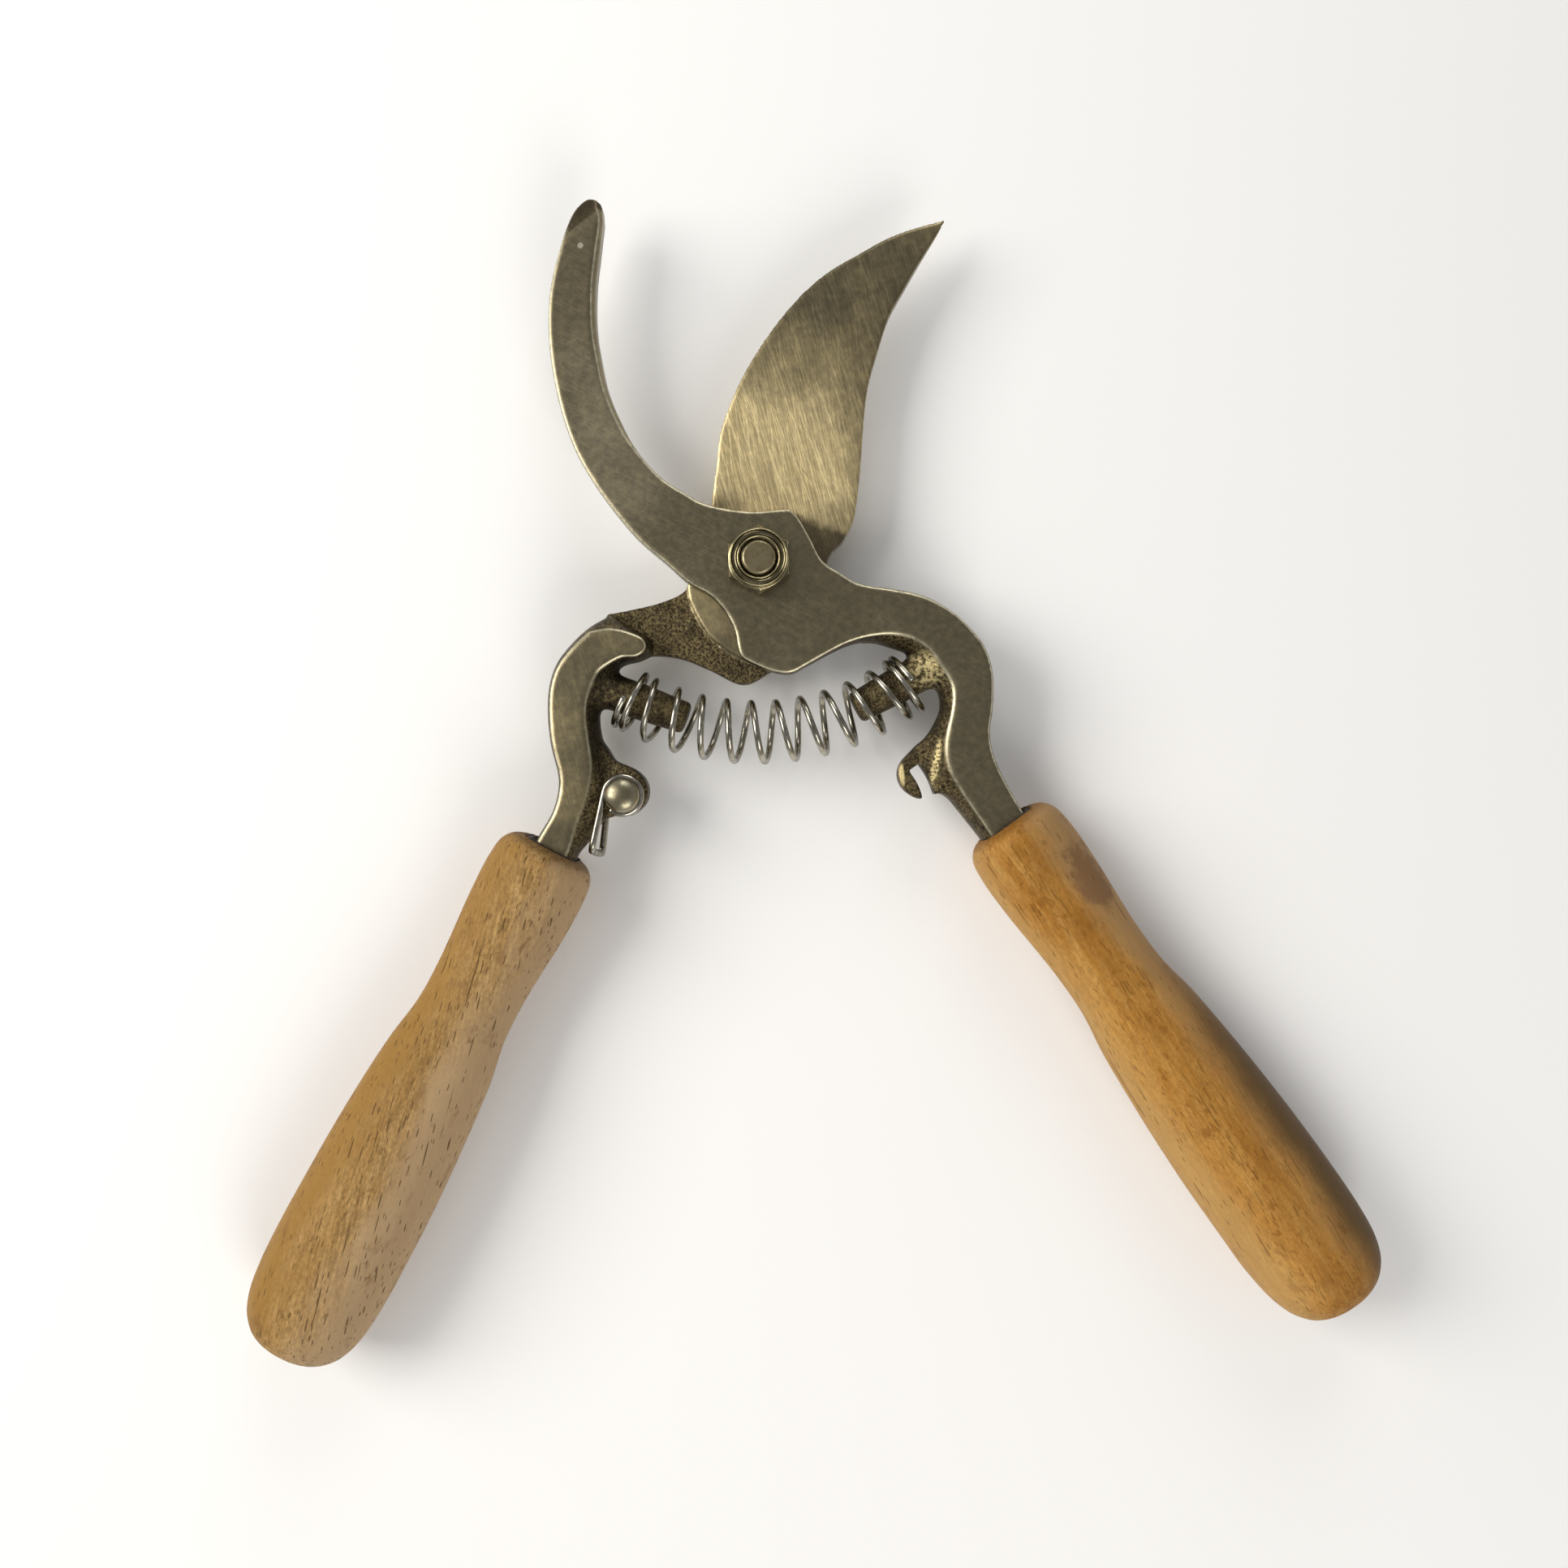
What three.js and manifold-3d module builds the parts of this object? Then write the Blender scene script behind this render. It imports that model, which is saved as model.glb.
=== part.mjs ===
// A one-hand bypass pruner, standing open: a hooked arm in front and a blade arm behind turn on one bolt.
// Each arm runs into a wooden handle. A coil spring opens the jaws and a wire latch holds them shut.
// Millimetres. The origin is the middle of the bolt head's flat face, and +Z runs along the bolt.
import * as THREE from "three";
import { mergeVertices } from "three/addons/utils/BufferGeometryUtils.js";
import Module from "manifold-3d";

const wasm = await Module();
wasm.setup();
const { Manifold } = wasm;

// Heights along the bolt
const REAR = 5.6; // rear face of the blade arm
const FRONT = 14.4; // front face of the hook arm
const BLADE_FACE = 9.95; // the blade's flat face
const HOOK_FACE = 10.05; // the hook's flat face, which the blade slides past
const MIDDLE = 10.0; // middle of both arms, their studs and their handles
const ROUGH_FACE = 9.5; // cast skin beside the ground boss
const LUG_REAR = 7.5;
const LUG_FRONT = 12.5;
const REACH = 30; // more than any height, for cutters

// Pivot: an M6 bolt and lock nut
const BOLT_RADIUS = 3.0;
const PIVOT_BORE = 3.1;
const ACROSS_FLATS = 10.0;
const HEAD_TOP = 4.0;
const WASHER_REAR = 4.1;
const WASHER_FRONT = 5.5;
const WASHER_RADIUS = 6.0;
const NUT_REAR = 14.5;
const NUT_SHOULDER = 18.4;
const NUT_TOP = 20.4;
const NUT_ANGLE = 32; // degrees, one corner of the nut
const COLLAR_RADIUS = 4.85;
const INSERT_RADIUS = 3.9;
const INSERT_REAR = 18.7;
const INSERT_FRONT = 19.9;
const BOLT_END = 20.6;

// Turning room
const BLADE_SWEEP = 21.5; // the hook arm's rear half stays outside this radius
const BOSS_CENTRE = [3.5, -1.2];
const BOSS_RADIUS = 16.0;
const CLOSED_ANGLE = 54; // degrees from the open pose to the latched pose

// Latch
const RIVET = [-23.0, -39.0];
const RIVET_RADIUS = 1.75;
const RIVET_BORE = 1.85;
const LATCH_LENGTH = 10.8; // rivet to crossbar
const LATCH_ANGLE = 244.2; // degrees, where the crossbar hangs
const LATCH_SLANT = 3.2; // degrees either side, front leg and rear leg
const WIRE_RADIUS = 0.6;
const EYE_RADIUS = 3.1;
const FRONT_EYE = 13.2;
const REAR_EYE = 6.8;
const EYE_WRAP = 300; // degrees of wire round the rivet
const CORNER = 1.6; // bend between leg and crossbar
const SLOT_RADIUS = 1.05;
const SLOT_END = 36.5; // degrees about the rivet of the closed tool
const SLOT_MOUTH = 0;

// Spring: a helix bent along an arc from stud to stud
const SPRING_CENTRE = [-0.6, 15.9];
const SPRING_BEND = 44.2;
const SPRING_FROM = 240.3;
const SPRING_TO = 306.3;
const COIL_RADIUS = 5.0;
const SPRING_WIRE = 0.55;
const END_TURNS = 1.5;
const END_PITCH = 1.35;
const OPEN_TURNS = 10;

// Studs: tip, and a point on the axis inside the arm
const STUD_RADIUS = 3.0;
const STUD_FLARE = 4.1;
const FLARE_LENGTH = 3.0;
const HOOK_STUD = { tip: [16.2, -24.3], seat: [25.6, -19.2], root: [31.0, -16.2] };
const BLADE_STUD = { tip: [-12.3, -26.0], seat: [-23.6, -22.0], root: [-30.0, -19.6] };

// Handles: the middle of the wood's top face and the direction that it runs
const HOOK_HANDLE = { top: [41.85, -43.76], angle: 54.4, length: 99.9 }; // degrees below +X
const BLADE_HANDLE = { top: [-35.17, -47.93], angle: 117.9, length: 96.9 };
const PALM_RADIUS = 11.2; // widest half-width, in the plane of the arms
const FLATTENING = MIDDLE / PALM_RADIUS; // the wood is thinner across, so it lies on z = 0
const MOUTH_FLATTENING = 1.14; // and deeper than wide where the arm goes in
const SETTLE = 14; // length over which the one turns into the other
// Distance from the top, in hundredths of the length, and half-width
const HANDLE_PROFILE = [
  [0, 5.6], [0.7, 7.1], [2.4, 8.4], [6, 8.95], [13, 8.9], [26, 8.1], [34, 8.2], [42, 9.4], [52, 10.3],
  [66, 11.0], [78, PALM_RADIUS], [87, 11.0], [92.5, 10.3], [96.4, 8.8], [98.8, 6.4], [99.8, 3.2], [100, 0],
];

// Tangs: half-width and half-depth where they enter the wood and at their ends
const TANG_MOUTH = [3.5, 4.1];
const TANG_TIP = [2.0, 2.0];
const TANG_LENGTH = 56;
const TANG_OVERLAP = 3; // inside the arm
const BORE_GAP = 0.3;
const RESIN_MOUTH = [4.2, 4.9];
const RESIN_DEPTH = 3.0;
const RESIN_PROUD = 0.3;

// Fineness
const OUTLINE_STEP = 1.6;
const ROUND_SIDES = 48;
const HANDLE_SIDES = 30;
const HANDLE_RINGS = 38;
const PLATE_EDGE = { size: 0.5, depth: 0.5, steps: 2 };
const ARM_EDGE = { size: 1.1, depth: 2.4, steps: 3 };
const WIRE_SIDES = 8;
const LATCH_STEPS = 110;
const SPRING_STEPS = 210;
const LUG_EDGE = { size: 0.5, depth: 0.5, steps: 2 };

// Outlines. Each stretch is a smooth curve through its points and starts where the one before it ends.
const HOOK_PLATE = [
  [ // round the tip, down the outside of the hook, along the bottom of the plate and the inside of the arm
    [-26.2, 57.5], [-26.6, 60.3], [-28.6, 61.3], [-30.8, 59.6], [-32.9, 54.3], [-35.2, 44.0], [-34.6, 31.9],
    [-30.4, 17.9], [-21.4, 5.1], [-11.5, -3.65], [-5.8, -8.1], [-3.5, -14.6], [-0.3, -17.2], [5.5, -18.5],
    [11.6, -15.1], [19.1, -12.2], [26.2, -12.5], [30.8, -17.1], [32.8, -22.5], [31.75, -30.2], [34.2, -38.2],
    [37.9, -43.8],
  ],
  [[37.9, -43.8], [43.8, -41.3]],
  [ // up the outside of the arm
    [43.8, -41.3], [39.2, -32.5], [38.5, -28.5], [39.0, -18.5], [35.6, -11.4], [26.5, -5.4], [16.2, -3.3],
    [10.6, 0.3], [7.2, 6.6], [5.1, 9.0],
  ],
  [ // over the plate and up the inside of the hook
    [5.1, 9.0], [-2.0, 8.6], [-9.5, 10.0], [-16.4, 14.2], [-23.0, 23.3], [-26.6, 34.3], [-27.5, 44.0],
    [-26.8, 52.2], [-26.2, 57.5],
  ],
];
const HOOK_INNER_EDGE = [
  [-25.2, 61.8], [-26.2, 57.5], [-26.8, 52.2], [-27.5, 44.0], [-26.6, 34.3], [-23.0, 23.3], [-19.5, 17.5],
];
const HOOK_ARM = [
  [ // inside, from the pivot to the handle
    [15.5, -14.9], [22.8, -14.4], [28.2, -18.0], [30.5, -24.0], [28.9, -28.2], [28.2, -32.5], [31.6, -39.0],
    [37.3, -46.2],
  ],
  [[37.3, -46.2], [44.3, -41.4]],
  [ // outside
    [44.3, -41.4], [39.5, -32.4], [38.8, -28.5], [39.4, -18.5], [35.8, -11.1], [26.5, -5.1], [20.2, -3.9],
  ],
  [[20.2, -3.9], [15.5, -14.9]],
];
const HOOK_LUG = [
  [
    [33.0, -29.0], [27.4, -30.2], [24.2, -33.0], [23.4, -35.6], [24.6, -38.2], [27.4, -39.7], [30.5, -38.7],
    [34.5, -39.5],
  ],
  [[34.5, -39.5], [33.0, -29.0]],
];
const BLADE_EDGE = [
  [31.6, 58.9], [26.1, 57.5], [16.7, 53.1], [7.25, 46.4], [-0.3, 36.8], [-5.3, 27.0], [-7.4, 17.2],
  [-8.2, 10.5],
];
const BLADE_PLATE = [
  BLADE_EDGE,
  [ // under the hook's plate and along the top of the bridge to the arm
    [-8.2, 10.5], [-11.6, 4.0], [-12.4, -1.5], [-16.4, -6.0], [-25.9, -8.2],
  ],
  [[-25.9, -8.2], [-27.5, -19.0]],
  [ // bottom of the bridge and the boss, then the back of the blade
    [-27.5, -19.0], [-23.6, -17.2], [-17.5, -15.1], [-8.5, -17.6], [-2.7, -20.1], [1.35, -18.2], [6.0, -14.5],
    [9.5, -9.0], [10.5, -3.0], [12.75, 3.1], [16.0, 7.8], [17.4, 19.5], [18.5, 30.65], [22.1, 42.65],
    [27.2, 51.7], [31.6, 58.9],
  ],
];
const BLADE_ARM = [
  [ // outside, from the bridge to the handle
    [-25.4, -8.5], [-31.4, -12.9], [-35.6, -20.6], [-35.3, -30.6], [-34.0, -37.3], [-37.4, -45.9],
  ],
  [[-37.4, -45.9], [-30.6, -48.9]],
  [ // inside, back to the shoulder
    [-30.6, -48.9], [-28.0, -45.75], [-26.2, -42.0], [-26.0, -31.5], [-27.0, -25.0], [-25.2, -18.6],
    [-20.6, -16.2], [-18.9, -13.6], [-21.4, -11.0], [-25.4, -8.5],
  ],
];
const BLADE_LUG = [
  [
    [-30.0, -30.0], [-25.1, -32.05], [-22.0, -34.1], [-19.3, -36.4], [-18.8, -39.2], [-20.6, -41.7],
    [-24.2, -42.5], [-29.0, -44.0],
  ],
  [[-29.0, -44.0], [-30.0, -30.0]],
];
const LATCH_RELIEF = [ // where the arm is cut back level with the lug, so that the latch hangs beside it
  [[-28.0, -31.0], [-28.2, -35.8], [-29.3, -39.5], [-30.8, -43.5], [-31.7, -50.0]],
  [[-31.7, -50.0], [-20.0, -50.0]],
  [[-20.0, -50.0], [-20.0, -31.0]],
  [[-20.0, -31.0], [-28.0, -31.0]],
];

function material(color, roughness, metalness = 0) {
  return new THREE.MeshStandardMaterial({ color, roughness, metalness });
}

const MATERIALS = {
  forgedSteel: material(0x988e74, 0.42, 1),
  bladeSteel: material(0xac9d77, 0.4, 1),
  springSteel: material(0x807d78, 0.35, 1),
  nutSteel: material(0xb0a689, 0.3, 1),
  brightSteel: material(0xbeb69e, 0.25, 1),
  nylon: material(0x6e6450, 0.5),
  resin: material(0x2a1d12, 0.5),
  paleWood: material(0xa88657, 0.6),
  goldenWood: material(0xb4823c, 0.55),
};

const radians = THREE.MathUtils.degToRad;

function onCircle([x, y], radius, degrees) {
  return [x + radius * Math.cos(radians(degrees)), y + radius * Math.sin(radians(degrees))];
}

function turned([x, y], degrees) {
  return onCircle([0, 0], Math.hypot(x, y), THREE.MathUtils.radToDeg(Math.atan2(y, x)) + degrees);
}

// A three.js geometry as a manifold-3d solid
function solid(geometry) {
  geometry.deleteAttribute("normal");
  geometry.deleteAttribute("uv");
  const merged = mergeVertices(geometry, 1e-4);
  return new Manifold(
    new wasm.Mesh({
      numProp: 3,
      vertProperties: merged.attributes.position.array,
      triVerts: new Uint32Array(merged.index.array),
    }),
  );
}

// Points along a smooth curve, evenly spaced
function stretch(points) {
  const curve = new THREE.CatmullRomCurve3(
    points.map(([x, y]) => new THREE.Vector3(x, y, 0)),
    false,
    "centripetal",
  );
  curve.arcLengthDivisions = 400;
  const steps = points.length === 2 ? 1 : Math.round(curve.getLength() / OUTLINE_STEP);
  return curve.getSpacedPoints(steps).map((p) => new THREE.Vector2(p.x, p.y));
}

function plate(stretches, rear, front, edge = { size: 0, depth: 0, steps: 0 }) {
  const points = stretches.flatMap((points) => stretch(points).slice(1));
  const geometry = new THREE.ExtrudeGeometry(new THREE.Shape(points), {
    depth: front - rear - 2 * edge.depth,
    bevelEnabled: edge.size > 0,
    bevelSize: edge.size,
    bevelOffset: -edge.size,
    bevelThickness: edge.depth,
    bevelSegments: edge.steps,
  });
  geometry.translate(0, 0, rear + edge.depth);
  return solid(geometry);
}

// A cylinder along Z
function rod(radius, rear, front, [x, y] = [0, 0]) {
  const geometry = new THREE.CylinderGeometry(radius, radius, front - rear, ROUND_SIDES);
  geometry.rotateX(Math.PI / 2);
  geometry.translate(x, y, (rear + front) / 2);
  return solid(geometry);
}

// A body of revolution about Z, from [radius, height] pairs
function turning(profile, [x, y] = [0, 0]) {
  const points = profile.map(([radius, height]) => new THREE.Vector2(radius, height));
  const geometry = new THREE.LatheGeometry(points, ROUND_SIDES);
  geometry.rotateX(Math.PI / 2);
  geometry.translate(x, y, 0);
  return solid(geometry);
}

function hexagon(rear, front, angle) {
  const corner = ACROSS_FLATS / 2 / Math.cos(radians(30));
  const corners = [0, 1, 2, 3, 4, 5].map((k) => onCircle([0, 0], corner, angle + 60 * k));
  const points = corners.map(([x, y]) => new THREE.Vector2(x, y));
  const geometry = new THREE.ExtrudeGeometry(new THREE.Shape(points), {
    depth: front - rear,
    bevelEnabled: false,
  });
  geometry.translate(0, 0, rear);
  return solid(geometry);
}

// A closed skin over rings of equally many points, with flat ends
function loft(rings) {
  const sides = rings[0].length;
  const positions = rings.flat(2);
  const indices = [];
  for (let i = 0; i + 1 < rings.length; i++) {
    for (let k = 0; k < sides; k++) {
      const a = i * sides + k;
      const b = i * sides + ((k + 1) % sides);
      indices.push(a, b, a + sides, b, b + sides, a + sides);
    }
  }
  const last = (rings.length - 1) * sides;
  for (let k = 1; k + 1 < sides; k++) {
    indices.push(0, k + 1, k, last, last + k, last + k + 1);
  }
  const geometry = new THREE.BufferGeometry();
  geometry.setAttribute("position", new THREE.Float32BufferAttribute(positions, 3));
  geometry.setIndex(indices);
  const made = solid(geometry);
  if (made.volume() > 0) return made;
  geometry.setIndex(indices.reverse());
  return solid(geometry);
}

// A prism along a curved edge. Its section is given as [distance to the left of the curve, height],
// and share(s) scales the distances along the curve.
function alongEdge(points, section, share = () => 1) {
  const path = stretch(points);
  return loft(
    path.map((p, i) => {
      const before = path[Math.max(i - 1, 0)];
      const after = path[Math.min(i + 1, path.length - 1)];
      const along = after.clone().sub(before).normalize();
      const scale = share(i / (path.length - 1));
      return section.map(([left, height]) => [
        p.x - along.y * left * scale,
        p.y + along.x * left * scale,
        height,
      ]);
    }),
  );
}

function wire(curve, radius, steps) {
  const section = new THREE.Shape();
  for (let k = 0; k < WIRE_SIDES; k++) {
    const corner = new THREE.Vector2(...onCircle([0, 0], radius, (360 * k) / WIRE_SIDES));
    if (k) section.lineTo(corner.x, corner.y);
    else section.moveTo(corner.x, corner.y);
  }
  return solid(new THREE.ExtrudeGeometry(section, { extrudePath: curve, steps, bevelEnabled: false }));
}

// A stud: a round peg that flares into the arm and is domed at its tip
function stud({ tip, seat, root }) {
  const along = new THREE.Vector2(root[0] - tip[0], root[1] - tip[1]);
  const length = along.length();
  const seatAt = Math.hypot(seat[0] - tip[0], seat[1] - tip[1]);
  const profile = [
    [0, 0],
    [STUD_RADIUS - 0.9, 0],
    [STUD_RADIUS - 0.25, 0.3],
    [STUD_RADIUS, 1.0],
    [STUD_RADIUS, seatAt],
    [STUD_RADIUS + 0.35, seatAt + FLARE_LENGTH / 2],
    [STUD_FLARE, seatAt + FLARE_LENGTH],
    [STUD_FLARE, length],
    [0, length],
  ];
  const geometry = new THREE.LatheGeometry(
    profile.map(([radius, height]) => new THREE.Vector2(radius, height)),
    ROUND_SIDES / 2,
  );
  geometry.rotateZ(along.angle() - Math.PI / 2);
  geometry.translate(tip[0], tip[1], MIDDLE);
  return solid(geometry);
}

// Runs a handle's own frame (x across, y down the handle, z up) into the tool's frame
function alongHandle(shape, { top, angle }) {
  return shape.rotate([0, 0, -angle - 90]).translate([top[0], top[1], MIDDLE]);
}

// A tapered four-sided bar down a handle's axis
function bar(from, to, mouth, tip) {
  const slice = ([x, z], y) => Manifold.cube([2 * x, 0.01, 2 * z], true).translate([0, y, 0]);
  return Manifold.hull([slice(mouth, from), slice(tip, to)]);
}

function handle(frame) {
  const stations = HANDLE_PROFILE.map(([y, x]) => new THREE.Vector2(x, (y / 100) * frame.length));
  const profile = new THREE.SplineCurve(stations);
  const points = profile.getSpacedPoints(HANDLE_RINGS).map((p) => new THREE.Vector2(Math.max(p.x, 0), p.y));
  points.unshift(new THREE.Vector2(0, 0));
  points.at(-1).x = 0;
  const geometry = new THREE.LatheGeometry(points, HANDLE_SIDES);
  const position = geometry.attributes.position;
  for (let i = 0; i < position.count; i++) {
    const settled = THREE.MathUtils.smoothstep(position.getY(i), 0, SETTLE);
    const flattening = THREE.MathUtils.lerp(MOUTH_FLATTENING, FLATTENING, settled);
    position.setZ(i, position.getZ(i) * flattening);
  }
  const widen = ([x, z]) => [x + BORE_GAP, z + BORE_GAP];
  const bore = bar(-1, TANG_LENGTH + 1, widen(TANG_MOUTH), widen(TANG_TIP));
  const mouth = bar(-1, RESIN_DEPTH, widen(RESIN_MOUTH), widen(RESIN_MOUTH));
  return alongHandle(solid(geometry).subtract(bore).subtract(mouth), frame);
}

function resin(frame) {
  const plug = bar(-RESIN_PROUD, RESIN_DEPTH - BORE_GAP, RESIN_MOUTH, RESIN_MOUTH);
  const clear = TANG_MOUTH.map((half) => half + BORE_GAP / 2);
  return alongHandle(plug.subtract(bar(-2, TANG_LENGTH, clear, clear)), frame);
}

function tang(frame) {
  return alongHandle(bar(-TANG_OVERLAP, TANG_LENGTH, TANG_MOUTH, TANG_TIP), frame);
}

function hookArm() {
  const slab = plate(HOOK_PLATE, HOOK_FACE - 2, FRONT, PLATE_EDGE).trimByPlane([0, 0, 1], HOOK_FACE);
  const bevel = alongEdge(
    HOOK_INNER_EDGE,
    [[-1.0, 12.4], [0, 12.9], [1.5, 14.5], [1.5, 15.5], [-1.0, 15.5]].map(([left, z]) => [-left, z]),
    (s) => 1 - 0.6 * THREE.MathUtils.smoothstep(s, 0.75, 1),
  );
  const arm = plate(HOOK_ARM, REAR, FRONT, ARM_EDGE);
  const closedRivet = turned(RIVET, CLOSED_ANGLE);
  const slotStops = [0, 1, 2, 3, 4, 5, 6].map((k) => {
    const degrees = THREE.MathUtils.lerp(SLOT_END, SLOT_MOUTH, k / 6);
    return rod(SLOT_RADIUS, 0, REACH, onCircle(closedRivet, LATCH_LENGTH, degrees));
  });
  const slot = Manifold.union(
    slotStops.slice(1).map((stop, k) => Manifold.hull([slotStops[k], stop])),
  );
  const bladeRoom = rod(BLADE_SWEEP, 0, HOOK_FACE);
  return slab
    .subtract(bevel)
    .add(arm.subtract(bladeRoom))
    .add(plate(HOOK_LUG, LUG_REAR, LUG_FRONT, LUG_EDGE).subtract(slot))
    .add(stud(HOOK_STUD))
    .add(tang(HOOK_HANDLE))
    .subtract(rod(PIVOT_BORE, 0, REACH));
}

function bladeArm() {
  const edgeLine = BLADE_FACE - 0.3; // the cutting edge is 0.3 mm thick here
  const grind = alongEdge(
    [[34.5, 59.2], ...BLADE_EDGE.slice(0, -1)],
    [[-3, edgeLine], [0, edgeLine], [8.5, REAR - 0.4], [-3, REAR - 0.4]],
    (s) => 1 - THREE.MathUtils.smoothstep(s, 0.8, 1) * 0.9,
  );
  const rough = rod(40, ROUGH_FACE, BLADE_FACE + 1, [-30, -22])
    .subtract(rod(BOSS_RADIUS, 0, REACH, BOSS_CENTRE))
    .trimByPlane([-1, 0, 0], -3.5)
    .trimByPlane([0, -1, 0], -5);
  const relief = plate(LATCH_RELIEF, 0, REACH).subtract(plate(LATCH_RELIEF, LUG_REAR, LUG_FRONT));
  return plate(BLADE_PLATE, REAR, BLADE_FACE)
    .subtract(grind)
    .subtract(rough)
    .add(plate(BLADE_ARM, REAR, FRONT, ARM_EDGE).subtract(relief))
    .add(plate(BLADE_LUG, LUG_REAR, LUG_FRONT, LUG_EDGE))
    .add(stud(BLADE_STUD))
    .add(tang(BLADE_HANDLE))
    .subtract(rod(PIVOT_BORE, 0, REACH))
    .subtract(rod(RIVET_BORE, 0, REACH, RIVET));
}

function pivotBolt() {
  const corner = ACROSS_FLATS / 2 / Math.cos(radians(30));
  const chamfer = turning([
    [0, 0],
    [corner - 0.9, 0],
    [corner, 0.6],
    [corner, HEAD_TOP],
    [0, HEAD_TOP],
  ]);
  const shank = turning([
    [0, HEAD_TOP - 1],
    [BOLT_RADIUS, HEAD_TOP - 1],
    [BOLT_RADIUS, BOLT_END - 0.5],
    [BOLT_RADIUS - 0.5, BOLT_END],
    [0, BOLT_END],
  ]);
  return hexagon(0, HEAD_TOP, 10).intersect(chamfer).add(shank);
}

function pivotNut() {
  const corner = ACROSS_FLATS / 2 / Math.cos(radians(30));
  const blank = turning([
    [0, NUT_REAR],
    [corner - 0.5, NUT_REAR],
    [corner, NUT_REAR + 0.35],
    [corner, NUT_SHOULDER - 0.55],
    [COLLAR_RADIUS, NUT_SHOULDER],
    [COLLAR_RADIUS, NUT_TOP - 0.9],
    [COLLAR_RADIUS - 0.3, NUT_TOP - 0.25],
    [COLLAR_RADIUS - 0.8, NUT_TOP],
    [0, NUT_TOP],
  ]);
  const collar = rod(COLLAR_RADIUS, NUT_REAR + 1, NUT_TOP);
  return hexagon(NUT_REAR, NUT_SHOULDER, NUT_ANGLE)
    .add(collar)
    .intersect(blank)
    .subtract(rod(PIVOT_BORE, 0, REACH))
    .subtract(rod(INSERT_RADIUS + 0.1, INSERT_REAR - 0.1, REACH));
}

function ring(outer, bore, rear, front, at) {
  return rod(outer, rear, front, at).subtract(rod(bore, rear - 1, front + 1, at));
}

function latchRivet() {
  return turning(
    [
      [0, 4.1],
      [1.6, 4.2],
      [2.5, 4.7],
      [2.7, 5.4],
      [RIVET_RADIUS, 5.4],
      [RIVET_RADIUS, 13.9],
      [3.0, 13.9],
      [2.9, 14.5],
      [2.3, 15.2],
      [1.3, 15.6],
      [0, 15.75],
    ],
    RIVET,
  );
}

// Wire round the front eye, down the front leg, across, up the rear leg and round the rear eye
function latchBail() {
  const half = (z, side) => {
    const bottom = onCircle(RIVET, LATCH_LENGTH, LATCH_ANGLE + side * LATCH_SLANT);
    const tangentAt = LATCH_ANGLE - THREE.MathUtils.radToDeg(Math.acos(EYE_RADIUS / LATCH_LENGTH));
    const points = [];
    for (let turn = -EYE_WRAP; turn <= 0; turn += 20) {
      points.push(new THREE.Vector3(...onCircle(RIVET, EYE_RADIUS, tangentAt + turn), z));
    }
    const start = points.at(-1);
    const end = new THREE.Vector3(...bottom, z);
    const inward = Math.sign(MIDDLE - z);
    const lengthwise = end.clone().sub(start).normalize();
    points.push(start.clone().lerp(end, 0.45));
    for (let degrees = 0; degrees <= 90; degrees += 30) {
      const back = CORNER * (1 - Math.sin(radians(degrees)));
      const down = CORNER * (1 - Math.cos(radians(degrees)));
      const corner = end.clone().addScaledVector(lengthwise, -back);
      points.push(corner.add(new THREE.Vector3(0, 0, inward * down)));
    }
    return points;
  };
  const path = [...half(FRONT_EYE, -1), ...half(REAR_EYE, 1).reverse()];
  return wire(new THREE.CatmullRomCurve3(path, false, "centripetal"), WIRE_RADIUS, LATCH_STEPS);
}

class BentHelix extends THREE.Curve {
  getPoint(share, target = new THREE.Vector3()) {
    const turns = 2 * END_TURNS + OPEN_TURNS;
    const turn = share * turns;
    const arc = radians(SPRING_TO - SPRING_FROM) * SPRING_BEND;
    const openPitch = (arc - 2 * END_TURNS * END_PITCH) / OPEN_TURNS;
    const early = Math.min(turn, END_TURNS) * END_PITCH;
    const open = THREE.MathUtils.clamp(turn - END_TURNS, 0, OPEN_TURNS) * openPitch;
    const late = Math.max(turn - END_TURNS - OPEN_TURNS, 0) * END_PITCH;
    const bend = radians(SPRING_FROM) + (early + open + late) / SPRING_BEND;
    const spin = 2 * Math.PI * turn;
    const reach = SPRING_BEND + COIL_RADIUS * Math.sin(spin);
    return target.set(
      SPRING_CENTRE[0] + reach * Math.cos(bend),
      SPRING_CENTRE[1] + reach * Math.sin(bend),
      MIDDLE + COIL_RADIUS * Math.cos(spin),
    );
  }
}

function returnSpring() {
  return wire(new BentHelix(), SPRING_WIRE, SPRING_STEPS);
}

function named(name, shape, material) {
  const { vertProperties, triVerts } = shape.getMesh();
  const geometry = new THREE.BufferGeometry();
  geometry.setAttribute("position", new THREE.BufferAttribute(vertProperties, 3));
  geometry.setIndex(new THREE.BufferAttribute(triVerts, 1));
  geometry.computeVertexNormals();
  const mesh = new THREE.Mesh(geometry, material);
  mesh.name = name;
  return mesh;
}

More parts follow.
